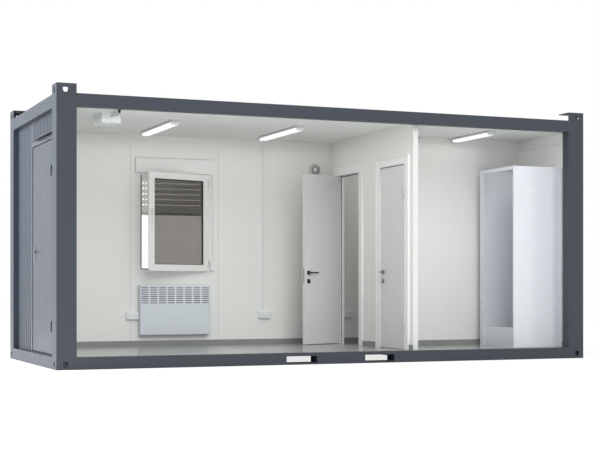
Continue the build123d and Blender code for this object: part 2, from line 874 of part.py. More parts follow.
sash_width = window_width - 2 * sash_from_side
sash_height = window_height - 2 * sash_from_sill
sash_edge = window_right - sash_from_side
sash_foot = window_sill + sash_from_sill
sash_pin = (sash_edge + sash_pin_gap, inner_y - sash_pin_out)
sash_hinges = [sash_hinge_inset, sash_height - sash_hinge_inset - sash_knuckle_length]
half_knuckle = sash_knuckle_length / 2

with BuildPart() as window_frame:
    # The plane looks at the frame from indoors, so that its normal points outdoors.
    indoors = Plane(origin=(0, inner_y, 0), x_dir=(-1, 0, 0), z_dir=(0, 1, 0))
    frame_edges = (-window_right, -window_left, window_sill, window_top)
    ring(indoors, frame_edges, inset(frame_edges, frame_face), frame_depth)
    for hinge in sash_hinges:
        foot = sash_foot + hinge
        plane_rod(Plane.XY, sash_pin[0], sash_pin[1], foot, foot + half_knuckle, sash_knuckle)
        block(
            (sash_pin[0] - sash_pin_gap, sash_pin[1], foot),
            (sash_pin[0] + sash_pin_gap, inner_y, foot + half_knuckle),
        )
save(window_frame, "window_frame")

# The sash hangs at the right and stands open into the room.
sash_turn = math.radians(180 + sash_angle)
sash_along = (math.cos(sash_turn), math.sin(sash_turn), 0)
sash_outward = (sash_along[1], -sash_along[0], 0)
sash_upright = Plane(origin=(sash_pin[0], sash_pin[1], sash_foot), x_dir=sash_along, z_dir=sash_outward)
sash_level = Plane(origin=sash_upright.origin, x_dir=sash_along, z_dir=(0, 0, 1))
sash_room_face = sash_pin_out - sash_lip - sash_seal
sash_edges = (sash_pin_gap, sash_pin_gap + sash_width, 0, sash_height)
sash_overlap = frame_face - sash_from_side
glass_edges = inset(sash_edges, sash_face)

with BuildPart() as window_sash:
    lip_plane = sash_upright.offset(sash_room_face)
    ring(lip_plane, sash_edges, glass_edges, sash_lip)
    body_edges = inset(sash_edges, sash_overlap + sash_fit)
    ring(lip_plane.offset(sash_lip), body_edges, glass_edges, sash_depth - sash_lip)
    for hinge in sash_hinges:
        foot = hinge + half_knuckle + knuckle_split
        head = hinge + sash_knuckle_length
        plane_rod(sash_level, 0, 0, foot, head, sash_knuckle)
        plane_block(sash_level, (0, 0, foot), (2 * sash_knuckle, -sash_room_face, head))
save(window_sash, "window_sash")

with BuildPart() as window_glass:
    with BuildSketch(sash_upright.offset(sash_room_face + glass_setback)):
        with Locations(((glass_edges[0] + glass_edges[1]) / 2, (glass_edges[2] + glass_edges[3]) / 2)):
            Rectangle(glass_edges[1] - glass_edges[0], glass_edges[3] - glass_edges[2])
    extrude(amount=glass_thickness)
save(window_glass, "window_glass")

with BuildPart() as window_handle:
    stile_middle = sash_edges[1] - sash_face / 2
    room_origin = sash_upright.from_local_coords((stile_middle, sash_handle_height, sash_room_face))
    room_side = Plane(origin=room_origin, x_dir=sash_along, z_dir=(-sash_outward[0], -sash_outward[1], 0))
    with BuildSketch(room_side):
        Rectangle(sash_rose_width, sash_rose_height)
    extrude(amount=sash_rose_thickness)
    with BuildSketch(room_side):
        Circle(sash_handle_radius)
    extrude(amount=sash_handle_reach)
    with BuildSketch(room_side.offset(sash_handle_reach)):
        with Locations((0, (sash_handle_length - sash_handle_radius) / 2)):
            SlotOverall(sash_handle_length + sash_handle_radius, 2 * sash_handle_radius, rotation=90)
    extrude(amount=lever_arm)
save(window_handle, "window_handle")

# Roller shutter: the box over the window, the rails outside it, and the lowered curtain
with BuildPart() as shutter_box:
    room_face = inner_y - shutter_box_proud
    box_back = frame_back + shutter_box_back
    with BuildSketch(Plane.YZ.offset(window_left)):
        with BuildLine():
            Polyline(
                (room_face, window_top - shutter_cover_drop),
                (inner_y - sash_seal, window_top - shutter_cover_drop),
                (inner_y - sash_seal, window_top),
                (box_back, window_top),
                (box_back, shutter_top),
                (room_face, shutter_top),
                close=True,
            )
        make_face()
    extrude(amount=window_width)
save(shutter_box, "shutter_box")

with BuildPart() as shutter_rails:
    slot = slat_thickness + 2 * rail_play
    for edge, side in ((window_left, 1), (window_right, -1)):
        with BuildSketch(Plane.XY.offset(window_sill)):
            with Locations((edge + side * rail_width / 2, frame_back + rail_depth / 2)):
                Rectangle(rail_width, rail_depth)
            with Locations((edge + side * (rail_wall + rail_width / 2), frame_back + rail_depth / 2)):
                Rectangle(rail_width, slot, mode=Mode.SUBTRACT)
        extrude(amount=window_height)
save(shutter_rails, "shutter_rails")

with BuildPart() as shutter_curtain:
    # Each slat is flat towards the window and bowed towards the weather.
    flat = frame_back + (rail_depth - slat_thickness) / 2
    edge = flat + slat_thickness - slat_bow
    curtain_foot = window_top - shutter_drop
    first_joint = curtain_foot + foot_slat_height
    joint_count = math.ceil((window_top - first_joint) / slat_pitch)
    joints = [first_joint + index * slat_pitch for index in range(joint_count)]
    curtain_left = window_left + rail_wall + rail_play
    with BuildSketch(Plane.YZ.offset(curtain_left)):
        with BuildLine():
            for foot, head in zip([curtain_foot, *joints], [*joints, window_top]):
                ThreePointArc((edge, foot), (edge + slat_bow, (foot + head) / 2), (edge, head))
            Polyline((edge, window_top), (flat, window_top), (flat, curtain_foot), (edge, curtain_foot))
        make_face()
    extrude(amount=window_width - 2 * (rail_wall + rail_play))
save(shutter_curtain, "shutter_curtain")

with BuildPart() as shutter_strap:
    # The strap runs from the box to its winder, beside the sash's hinges.
    strap_x = window_right - strap_from_edge
    strap_y = inner_y - winder_depth / 2
    block(
        (strap_x - strap_width / 2, strap_y - strap_thickness / 2, winder_top),
        (strap_x + strap_width / 2, strap_y + strap_thickness / 2, window_top - shutter_cover_drop),
    )
    winder_middle = (window_right, inner_y, winder_top - winder_height / 2)
    with BuildSketch(Plane(origin=winder_middle, x_dir=(1, 0, 0), z_dir=(0, -1, 0))):
        Rectangle(winder_width, winder_height)
    extrude(amount=winder_depth)
save(shutter_strap, "shutter_strap")

# Heater: a sheet metal casing on two wall brackets, with rows of outlet slots
with BuildPart() as panel_heater:
    back_y = inner_y - heater_gap
    front_y = back_y - heater_depth
    heater_top = heater_bottom + heater_height
    left = heater_middle - heater_width / 2
    right = heater_middle + heater_width / 2
    block((left, front_y, heater_bottom), (right, back_y, heater_top))
    fillet(panel_heater.edges().filter_by(Axis.Z).group_by(Axis.Y)[0], radius=heater_corner)
    for bracket_x in (left + heater_width / 4, right - heater_width / 4):
        with Locations((bracket_x, inner_y - heater_gap / 2, heater_bottom + heater_height / 2)):
            Box(heater_bracket, heater_gap, heater_height - 2 * heater_bracket)
    slot_middle = heater_top - slot_from_top
    with BuildSketch(Plane(origin=(heater_middle, front_y, slot_middle), x_dir=(1, 0, 0), z_dir=(0, -1, 0))):
        with GridLocations(slot_pitch_x, slot_pitch_z, slot_count, slot_count):
            Rectangle(slot_length, slot_height)
    extrude(amount=-slot_depth, mode=Mode.SUBTRACT)
save(panel_heater, "panel_heater")

# Sockets: double wall boxes with two round recesses
with BuildPart() as wall_sockets:
    for place in socket_places:
        face_plane = Plane(origin=(place, inner_y, socket_height), x_dir=(1, 0, 0), z_dir=(0, -1, 0))
        with BuildSketch(face_plane):
            Rectangle(socket_width, socket_tall)
        extrude(amount=socket_depth)
        with BuildSketch(face_plane.offset(socket_depth)):
            with GridLocations(socket_width / 2, 1, 2, 1):
                Circle(socket_hole)
        extrude(amount=-socket_hole_depth, mode=Mode.SUBTRACT)
save(wall_sockets, "wall_sockets")

# Lamps: round-ended battens under the ceiling, each with a square-ended diffuser below its base
lamps = [(place, lamp_length) for place in lamp_places]
lamps.append(((short_lamp_x, cross_wall_front - short_lamp_from_cross_wall), short_lamp_length))

with BuildPart() as ceiling_lamps:
    with BuildSketch(Plane.XY.offset(ceiling_under)):
        for place, length in lamps:
            with Locations(place):
                SlotOverall(length, lamp_width, rotation=90)
    extrude(amount=-lamp_base_height)
save(ceiling_lamps, "ceiling_lamps")

with BuildPart() as lamp_diffusers:
    with BuildSketch(Plane.XY.offset(ceiling_under - lamp_base_height)):
        for place, length in lamps:
            with Locations(place):
                Rectangle(lamp_width - 2 * diffuser_from_side, length - 2 * diffuser_from_end)
    extrude(amount=-diffuser_height)
save(lamp_diffusers, "lamp_diffusers")

# Electrical supply box under the ceiling, with its conduit, and the conduit to a socket
with BuildPart() as distribution_box:
    supply_box_middle = supply_box_from_end - inner_x
    supply_box_rear = supply_box_front + supply_box_depth
    block(
        (supply_box_middle - supply_box_width / 2, supply_box_front, ceiling_under - supply_box_height),
        (supply_box_middle + supply_box_width / 2, supply_box_rear, ceiling_under),
    )
save(distribution_box, "distribution_box")

with BuildPart() as conduits:
    half_conduit = conduit_width / 2
    block(
        (socket_conduit_x - half_conduit, inner_y - conduit_width, socket_height + socket_tall / 2),
        (socket_conduit_x + half_conduit, inner_y, ceiling_under),
    )
    ceiling_conduit_x = supply_box_middle + ceiling_conduit_offset
    gland_y = supply_box_front - ceiling_conduit_length
    block(
        (ceiling_conduit_x - half_conduit, gland_y, ceiling_under - conduit_width),
        (ceiling_conduit_x + half_conduit, supply_box_front, ceiling_under),
    )
    gland_foot = ceiling_under - ceiling_gland_height
    plane_rod(Plane.XY, ceiling_conduit_x, gland_y, gland_foot, ceiling_under, ceiling_gland_radius)
save(conduits, "conduits")

# Extract fan: a turned cover that narrows from its flange to its mouth
with BuildPart() as extract_fan:
    fan_height = ceiling_under - fan_below_ceiling
    fan_plane = Plane(origin=(fan_x, inner_y, fan_height), x_dir=(1, 0, 0), z_dir=(0, 0, -1))
    with BuildSketch(fan_plane):
        with BuildLine():
            Polyline(
                (0, 0),
                (fan_radius, 0),
                (fan_radius, fan_flange),
                (fan_mouth, fan_depth),
                (0, fan_depth),
                close=True,
            )
        make_face()
    revolve(axis=Axis(origin=(fan_x, inner_y, fan_height), direction=(0, -1, 0)))
save(extract_fan, "extract_fan")

# Shower cabin: three panels from floor to head, a strip and a header round its entry
tray_top = deck_top + tray_height
shower_top = deck_top + shower_height

with BuildPart() as shower_walls:
    front_inside = shower_front + shower_panel
    rear_inside = shower_rear - shower_panel
    back_inside = inner_x - shower_panel
    strip_end = rear_inside - shower_strip + shower_panel
    strip_back = shower_left + shower_strip_thickness
    with BuildSketch(Plane.XY.offset(deck_top)):
        with BuildLine():
            Polyline(
                (shower_left, shower_front),
                (inner_x, shower_front),
                (inner_x, shower_rear),
                (shower_left, shower_rear),
                (shower_left, strip_end),
                (strip_back, strip_end),
                (strip_back, rear_inside),
                (back_inside, rear_inside),
                (back_inside, front_inside),
                (shower_left, front_inside),
                close=True,
            )
        make_face()
    extrude(amount=shower_height)
    block(
        (shower_left, front_inside, shower_top - shower_header),
        (strip_back, strip_end, shower_top),
    )
save(shower_walls, "shower_walls")

with BuildPart() as shower_tray:
    tray_middle = ((strip_back + back_inside) / 2, (front_inside + rear_inside) / 2)
    tray_size = (back_inside - strip_back, rear_inside - front_inside)
    with BuildSketch(Plane.XY.offset(deck_top)):
        with Locations(tray_middle):
            Rectangle(*tray_size)
    extrude(amount=tray_height)
    with BuildSketch(Plane.XY.offset(tray_top)):
        with Locations(tray_middle):
            RectangleRounded(tray_size[0] - 2 * tray_rim, tray_size[1] - 2 * tray_rim, tray_corner)
    extrude(amount=-tray_bowl_depth, mode=Mode.SUBTRACT)
save(shower_tray, "shower_tray")
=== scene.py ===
import json
import math
from collections import namedtuple
from itertools import product
from types import SimpleNamespace

import bpy
import numpy as np
from bpy.props import FloatProperty, FloatVectorProperty, PointerProperty
from bpy.types import Operator, Panel, PropertyGroup
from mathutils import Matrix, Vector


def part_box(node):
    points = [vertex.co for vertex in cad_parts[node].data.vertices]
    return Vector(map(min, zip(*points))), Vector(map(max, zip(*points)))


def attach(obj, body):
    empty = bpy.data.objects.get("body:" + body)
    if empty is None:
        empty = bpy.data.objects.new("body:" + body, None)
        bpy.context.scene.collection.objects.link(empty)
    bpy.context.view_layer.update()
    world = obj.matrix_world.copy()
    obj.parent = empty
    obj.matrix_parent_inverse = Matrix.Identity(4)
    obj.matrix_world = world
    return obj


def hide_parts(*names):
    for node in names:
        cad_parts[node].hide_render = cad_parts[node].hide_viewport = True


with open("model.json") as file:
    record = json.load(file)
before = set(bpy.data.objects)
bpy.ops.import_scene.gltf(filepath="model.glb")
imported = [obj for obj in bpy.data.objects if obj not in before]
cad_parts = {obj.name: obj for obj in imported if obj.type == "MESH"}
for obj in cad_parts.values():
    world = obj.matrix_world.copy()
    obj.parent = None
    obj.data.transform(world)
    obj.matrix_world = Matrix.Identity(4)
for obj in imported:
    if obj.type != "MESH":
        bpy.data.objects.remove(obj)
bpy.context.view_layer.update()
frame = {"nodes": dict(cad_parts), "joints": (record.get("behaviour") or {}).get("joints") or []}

bl_info = {
    "name": "Site cabin finishes",
    "version": (1, 0, 0),
    "blender": (4, 5, 0),
    "location": "View3D > Sidebar > Site cabin",
    "description": "Finishes, fittings and studio for a portable site cabin",
    "category": "Object",
}

SHARP_EDGE = math.radians(38)
TIP_LENGTH = 0.012
UP = np.array([0.0, 0.0, 1.0])
DOWN = -UP
EAST = np.array([1.0, 0.0, 0.0])
WEST = -EAST
NORTH = np.array([0.0, 1.0, 0.0])
SOUTH = -NORTH
SIDES = (-1, 1)

# The photograph's frame, and the camera that was fitted to the cabin's corners in it
PHOTO_WIDTH = 600
PHOTO_HEIGHT = 450
FOCAL_PIXELS = 1343.5
PRINCIPAL_ROW = 287.92
SENSOR_WIDTH = 36.0
CAMERA_PLACE = (-5.8258, -14.1386, 0.79886)
CAMERA_TURN = math.radians(22.5)

JOINTS = {joint["name"]: joint for joint in frame["joints"]}

# Sizes of the CAD pieces that their boxes don't give
RIB_PITCH = 0.110
SEAM_PITCH = 0.560
SEAM_COUNT = 10
CEILING_PACKER = 0.012
LEAF_HALF = 0.020
WINDOW_FACE = 0.072
PANE_THICKNESS = 0.024
PANE_SETBACK = 0.012
SASH_ANGLE = math.radians(18)
SLAT_PITCH = 0.064

# Each door: its leaf's width, the gap to its frame, the side of its hinge jamb along Y, the widths of
# its frame beside and over the opening, and the X of its stop's face
DoorSizes = namedtuple("DoorSizes", "width gap jamb band head_band stop")
DOORS = {
    "toilet": DoorSizes(width=0.605, gap=0.0085, jamb=1, band=0.095, head_band=0.095, stop=0.943),
    "shower": DoorSizes(width=0.605, gap=0.0085, jamb=-1, band=0.095, head_band=0.095, stop=0.943),
    "entrance": DoorSizes(width=0.975, gap=0.008, jamb=-1, band=0.052, head_band=0.049, stop=-2.930),
}

# X, Y and length of each ceiling lamp, and X of each double socket
CEILING_LAMPS = ((-1.580, 0.160, 1.200), (-0.160, 0.115, 1.200), (2.030, -0.437, 0.876))
SOCKET_MIDDLES = (-1.630, 0.020, 1.116)

# Planes inside the outer walls: what lies past them is painted as the frame
END_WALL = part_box("left_end_wall_rear")
REAR_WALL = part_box("rear_wall_left")
PAINTED_PAST_X = -END_WALL[1][0] + (END_WALL[1][0] - END_WALL[0][0]) / 4
PAINTED_PAST_Y = (REAR_WALL[0][1] + REAR_WALL[1][1]) / 2

# Lamp that lights each room: name, X, Y, size and share of the power
ROOM_LAMP_HEIGHT = 2.53
ROOM_LAMPS = (
    ("main_room", -1.0, 0.0, (3.4, 1.9), 1.0),
    ("shower_room", 1.7, -0.55, (1.3, 1.0), 1.0),
    ("toilet_room", 1.9, 0.6, (1.6, 0.8), 1.7),
)


def srgb(red, green, blue):
    """Linear colour of an sRGB colour given from 0 to 255."""
    share = np.array([red, green, blue]) / 255
    return tuple(np.where(share <= 0.04045, share / 12.92, ((share + 0.055) / 1.055) ** 2.4))


def colour_setting(name, description, red, green, blue):
    """Colour that a user can change in the sidebar."""
    return FloatVectorProperty(
        name=name, description=description, subtype="COLOR", min=0, max=1, default=srgb(red, green, blue)
    )


def length_setting(name, description, default):
    """Length in metres that a user can change in the sidebar."""
    return FloatProperty(name=name, description=description, default=default, min=0, unit="LENGTH")


def power_setting(name, description, default):
    """Power in watts that a user can change in the sidebar."""
    return FloatProperty(name=name, description=description, default=default, min=0, unit="POWER")


# Settings
class CabinColours(PropertyGroup):
    """Colours of the cabin's finishes."""

    frame: colour_setting("Frame", "Steel frame and outer skin", 53, 59, 68)
    wall: colour_setting("Walls", "Sheet that lines the rooms", 234, 235, 232)
    ceiling: colour_setting("Ceiling", "Ceiling boards", 230, 232, 229)
    door: colour_setting("Doors", "Inner door leaves", 220, 222, 220)
    casing: colour_setting("Door frames", "Painted door frames", 241, 242, 240)
    floor: colour_setting("Floor", "Vinyl floor", 150, 152, 151)
    skirting: colour_setting("Skirting", "Skirting boards", 142, 144, 143)
    plastic: colour_setting("Window", "Window and shutter mouldings, and the strap", 231, 233, 230)
    shutter: colour_setting("Shutter", "Slats of the roller shutter", 212, 210, 206)
    glass: colour_setting("Glass", "Tint of the window pane", 134, 131, 128)
    heater: colour_setting("Heater", "Casing of the panel heater", 212, 219, 225)
    electric: colour_setting("Electrical", "Sockets, conduits and boxes", 228, 231, 232)
    shower: colour_setting("Shower", "Shower panels and tray", 225, 228, 234)
    # Also the colour of the lines that are partly painted shadow, under the friezes and round the shutter
    # box
    joint: colour_setting("Wall joints", "Beads in the wall joints", 203, 205, 202)
    black: colour_setting("Handles", "Levers and roses", 38, 39, 41)
    steel: colour_setting("Steel", "Lock plates and screws", 168, 170, 172)
    grey: colour_setting("Grey fittings", "Satin handles", 128, 130, 130)
    # On the lamp trays this grey is painted shade on the lamps' flanks
    pale: colour_setting("Pale fittings", "Hinge covers, fan, lamp trays and conduit", 192, 194, 192)
    zinc: colour_setting("Zinc", "Roof sheet and floor joists", 168, 173, 176)
    # Rubber also paints the shade in keyholes, pin holes and heater slots
    rubber: colour_setting("Rubber", "Seals and dark recesses", 34, 35, 37)


class CabinSizes(PropertyGroup):
    """Sizes of the small pieces that dress the cabin."""

    bead: length_setting("Joint bead", "Width of the bead in a wall joint", 0.006)
    frieze_height: length_setting("Frieze height", "Height of the strip under the ceiling", 0.119)
    frieze_depth: length_setting("Frieze depth", "How far that strip stands out", 0.004)
    weld: length_setting("Weld", "Radius of the weld beads on the frame", 0.005)
    screw: length_setting("Screw head", "Radius of the screws in the outer skin", 0.007)
    screw_pitch: length_setting("Screw pitch", "Distance between those screws", 0.33)
    gasket: length_setting("Gasket", "Width of the gasket round the window opening", 0.011)
    seal: length_setting("Seal", "Width of the door seals and of the pane's seals", 0.007)
    light_slot: length_setting("Light slot", "Length of a slot between shutter slats", 0.0105)
    light_slot_pitch: length_setting("Light slot pitch", "Distance between those slots", 0.038)


class CabinStudio(PropertyGroup):
    """Light round the cabin."""

    sky: FloatProperty(name="Sky", description="Strength of the even light", default=1.0, min=0)
    side: power_setting("Side lamp", "Power of the left lamp", 1560)
    front: power_setting("Front lamp", "Power of the front lamp", 840)
    rooms: FloatProperty(name="Room lamps", description="Power to the square metre", default=1.6, min=0)
    lamp_glow: FloatProperty(name="Lamp glow", description="Glow of the ceiling lamps", default=0.7, min=0)
    floor_size: length_setting("Floor size", "Length of the studio floor", 90)
    floor_lift: FloatProperty(
        name="Floor lift", description="Share of plain white in the floor as the camera sees it",
        default=0.72, min=0, max=1, subtype="FACTOR",
    )


# Surfaces
class Surface:
    """Closed surface: points, four-sided faces and three-sided faces."""

    def __init__(self, points, quads, triangles):
        self.points = points
        self.quads = quads
        self.triangles = triangles

    def placed(self, origin, across, up, out):
        """The surface with its X, Y and Z laid along three directions at an origin."""
        axes = np.array([across, up, out], float)
        return Surface(np.asarray(origin, float) + self.points @ axes, self.quads, self.triangles)

    def moved(self, offset):
        """The surface at an offset."""
        return Surface(self.points + np.asarray(offset, float), self.quads, self.triangles)

    def at(self, offsets):
        """Copies of the surface, one moved by each offset."""
        offsets = np.asarray(offsets, float).reshape(-1, 3)
        step = np.arange(len(offsets))[:, None, None] * len(self.points)
        points = (self.points[None] + offsets[:, None]).reshape(-1, 3)
        quads = (self.quads[None] + step).reshape(-1, 4)
        triangles = (self.triangles[None] + step).reshape(-1, 3)
        return Surface(points, quads, triangles)

    def volume(self):
        """Signed volume: a sixth of the sum of a . (b x c) over all triangles."""
        halves = [self.triangles, self.quads[:, [0, 1, 2]], self.quads[:, [0, 2, 3]]]
        a, b, c = np.moveaxis(self.points[np.concatenate(halves)], 1, 0)
        return np.einsum("ij,ij->i", a, np.cross(b, c)).sum() / 6

    def outward(self):
        """The surface with its faces pointing outwards."""
        centred = self.moved(-self.points.mean(0))
        if centred.volume() >= 0:
            return self
        return Surface(self.points, self.quads[:, ::-1], self.triangles[:, ::-1])


def closed_tube(rings):
    """Closed surface through rings of points, given as ring, point and xyz.

    Point i of one ring joins points i and i + 1 of the next, round each ring, and a fan about
    its middle closes the first ring and the last.
    """
    count, size = rings.shape[:2]
    row, column = np.meshgrid(np.arange(count - 1), np.arange(size), indexing="ij")
    here = row * size + column
    beside = row * size + (column + 1) % size
    quads = np.stack([here, beside, beside + size, here + size], axis=-1).reshape(-1, 4)
    around = np.arange(size)
    after = (around + 1) % size
    last = (count - 1) * size
    hub = count * size
    start = np.stack([np.full(size, hub), after, around], axis=-1)
    end = np.stack([np.full(size, hub + 1), last + around, last + after], axis=-1)
    hubs = np.stack([rings[0].mean(0), rings[-1].mean(0)])
    points = np.concatenate([rings.reshape(-1, 3), hubs])
    return Surface(points, quads, np.concatenate([start, end]))


def rounded_edge(depth, edge, steps=4):
    """Heights and insets of a slab's side with a quarter round of radius edge at its face.

    At angle a the height is depth - edge (1 - sin a) and the inset edge (1 - cos a).
    """
    angle = np.linspace(0, math.pi / 2, steps)
    heights = np.concatenate([[0.0], depth - edge * (1 - np.sin(angle))])
    insets = np.concatenate([[0.0], edge * (1 - np.cos(angle))])
    return heights, insets


def slab(width, height, depth, corner, edge, steps=4):
    """Slab with rounded corners whose face has a rounded edge; its back lies on Z = 0.

    The outline at each height is a rectangle drawn in by the inset, and the point at angle a of
    a corner is the corner's centre plus its radius times (cos a, sin a).
    """
    heights, insets = rounded_edge(depth, edge, steps)
    angle = (np.arange(4)[:, None] * (math.pi / 2) + np.linspace(0, math.pi / 2, steps))[None]
    sign_x = np.array([1, -1, -1, 1])[None, :, None]
    sign_y = np.array([1, 1, -1, -1])[None, :, None]
    inset = insets[:, None, None]
    radius = np.maximum(corner - inset, 0.0001)
    x = sign_x * (width / 2 - inset - radius) + radius * np.cos(angle)
    y = sign_y * (height / 2 - inset - radius) + radius * np.sin(angle)
    z = np.broadcast_to(heights[:, None, None], x.shape)
    return closed_tube(np.stack([x, y, z], axis=-1).reshape(len(heights), -1, 3))


def spun(radii, heights, steps=32):
    """Surface of revolution: the point at angle a of ring i is (r cos a, r sin a, h)."""
    angle = np.arange(steps) * (2 * math.pi / steps)
    radii = np.asarray(radii, float)[:, None]
    x = radii * np.cos(angle)
    y = radii * np.sin(angle)
    z = np.broadcast_to(np.asarray(heights, float)[:, None], x.shape)
    return closed_tube(np.stack([x, y, z], axis=-1))


def dome_head(radius, height, steps=16):
    """Screw head: a spheroid's cap on a short rim.

    At angle a the radius is r cos a and the height is rim + (h - rim) sin a.
    """
    angle = np.linspace(0, math.radians(80), 5)
    rim = height / 3
    radii = np.concatenate([[radius], radius * np.cos(angle)])
    heights = np.concatenate([[0.0], rim + (height - rim) * np.sin(angle)])
    return spun(radii, heights, steps)


def spun_between(start, end, radii, run, steps):
    """Surface of revolution about the line from one point to another, from radii at distances along it."""
    start = np.asarray(start, float)
    along = end - start
    along = along / np.linalg.norm(along)
    side = np.cross(along, UP if abs(along[2]) < 0.9 else EAST)
    side = side / np.linalg.norm(side)
    return spun(radii, run, steps).placed(start, side, np.cross(along, side), along)


def rod(start, end, radius, steps=16):
    """Round bar: rings of the same radius at its two ends."""
    length = np.linalg.norm(np.subtract(end, start))
    return spun_between(start, end, [radius, radius], [0, length], steps)


def weld_bead(start, end, radius, ripple=0.006):
    """Weld bead between two points: at distance s its radius is r (1 + w sin(2 pi s / ripple)).

    The share w of the radius is the height of its waves.
    """
    wave = 0.15
    rings_per_ripple = 6
    length = np.linalg.norm(np.subtract(end, start))
    run = np.linspace(0, length, int(length / ripple * rings_per_ripple))
    radii = radius * (1 + wave * np.sin(2 * math.pi * run / ripple))
    return spun_between(start, end, radii, run, steps=10)


def frame_strip(width, height, band, depth, edge=0.001):
    """Four strips round a rectangle of the given outer size, lapped at the corners."""
    post = slab(band, height, depth, corner=edge, edge=edge, steps=3)
    rail = slab(width, band, depth, corner=edge, edge=edge, steps=3)
    x = (width - band) / 2
    y = (height - band) / 2
    return [post.at([(-x, 0, 0), (x, 0, 0)]), rail.at([(0, -y, 0), (0, y, 0)])]


def swept_bar(path, out, half_width, half_depth, power=2.6, steps=20, taper=TIP_LENGTH):
    """Bar along a flat path whose section is a superellipse.

    The section's point at angle a is half_width sgn(cos a)|cos a|^(2/p) across the path's plane
    and half_depth sgn(sin a)|sin a|^(2/p) in it. Over the last stretch, of length taper, both
    shrink by sqrt(1 - t^2), with t from 0 to just under 1, so that the bar ends in a dome.
    """
    last_t = 0.995
    step = np.linalg.norm(np.diff(path, axis=0), axis=1)
    run = np.concatenate([[0.0], np.cumsum(step)])
    along = np.gradient(path, run, axis=0)
    along = along / np.linalg.norm(along, axis=1)[:, None]
    flat = np.cross(along, out)
    t = np.clip((run - run[-1] + taper) / taper, 0, last_t)
    shrink = np.sqrt(1 - t**2)[:, None, None]
    angle = np.arange(steps) * (2 * math.pi / steps)
    across = half_width * np.sign(np.cos(angle)) * np.abs(np.cos(angle)) ** (2 / power)
    inward = half_depth * np.sign(np.sin(angle)) * np.abs(np.sin(angle)) ** (2 / power)
    ring = across[None, :, None] * out + inward[None, :, None] * flat[:, None]
    return closed_tube(path[:, None] + shrink * ring)


def hooked_path(reach, length, bend, steps=8):
    """Path of a handle: out along Z, a quarter circle, and then along X to its tip.

    The quarter circle's point at angle a is (b - b cos a, reach - b + b sin a), and the arm's last
    points stand at length - t cos a, with t the tip's length, so that they crowd towards the tip.
    """
    angle = np.linspace(0, math.pi / 2, steps)
    neck = np.stack([np.zeros(3), np.linspace(0, reach - bend, 4)[:3]], axis=-1)
    curve = np.stack([bend - bend * np.cos(angle), reach - bend + bend * np.sin(angle)], axis=-1)
    plain = np.linspace(bend, length - TIP_LENGTH, 6)[1:]
    arm_x = np.concatenate([plain, length - TIP_LENGTH * np.cos(angle[1:])])
    arm = np.stack([arm_x, np.full(len(arm_x), reach)], axis=-1)
    flat = np.concatenate([neck, curve, arm])
    return np.stack([flat[:, 0], np.zeros(len(flat)), flat[:, 1]], axis=-1)


def bent_path(start, end, reach, steps=14):
    """Cubic curve that leaves the start level, towards the end, and comes to the end upright.

    At t from 0 to 1 it is (1 - t)^3 a + 3 t (1 - t)^2 b + 3 t^2 (1 - t) c + t^3 d, with a and d its
    ends, b at the reach from a, and c at a share of the reach from d.
    """
    level = (end - start) * (1, 1, 0)
    level = level / np.linalg.norm(level)
    rise = UP * np.sign(end[2] - start[2])
    t = np.linspace(0, 1, steps)[:, None]
    end_share = 0.3
    first = start + level * reach
    second = end - rise * reach * end_share
    return (1 - t) ** 3 * start + 3 * t * (1 - t) ** 2 * first + 3 * t**2 * (1 - t) * second + t**3 * end


def box_between(start, end, edge=0.001):
    """Slab between two opposite corners, standing on its lower side."""
    low = np.minimum(start, end)
    high = np.maximum(start, end)
    width, length, height = high - low
    middle = (low + high) / 2
    corner = min(edge, width / 2.1, length / 2.1)
    body = slab(width, length, height, corner=corner, edge=min(edge, height / 2.1))
    return body.moved((middle[0], middle[1], low[2]))


def to_front(surface, place):
    """Surface laid on an upright face that looks to the front of the cabin."""
    return surface.placed(place, EAST, UP, SOUTH)


def hanging(surface, place):
    """Surface laid on a level face that looks down."""
    return surface.placed(place, EAST, SOUTH, DOWN)


def centred_row(count, pitch):
    """Places of a row of things about zero."""
    return (np.arange(count) - (count - 1) / 2) * pitch


def wall_places(columns, rows, depth):
    """Points at each X of the columns and each Z of the rows, on the plane Y = depth."""
    x, z = np.meshgrid(columns, rows)
    return np.stack([x.ravel(), np.full(x.size, depth), z.ravel()], axis=-1)


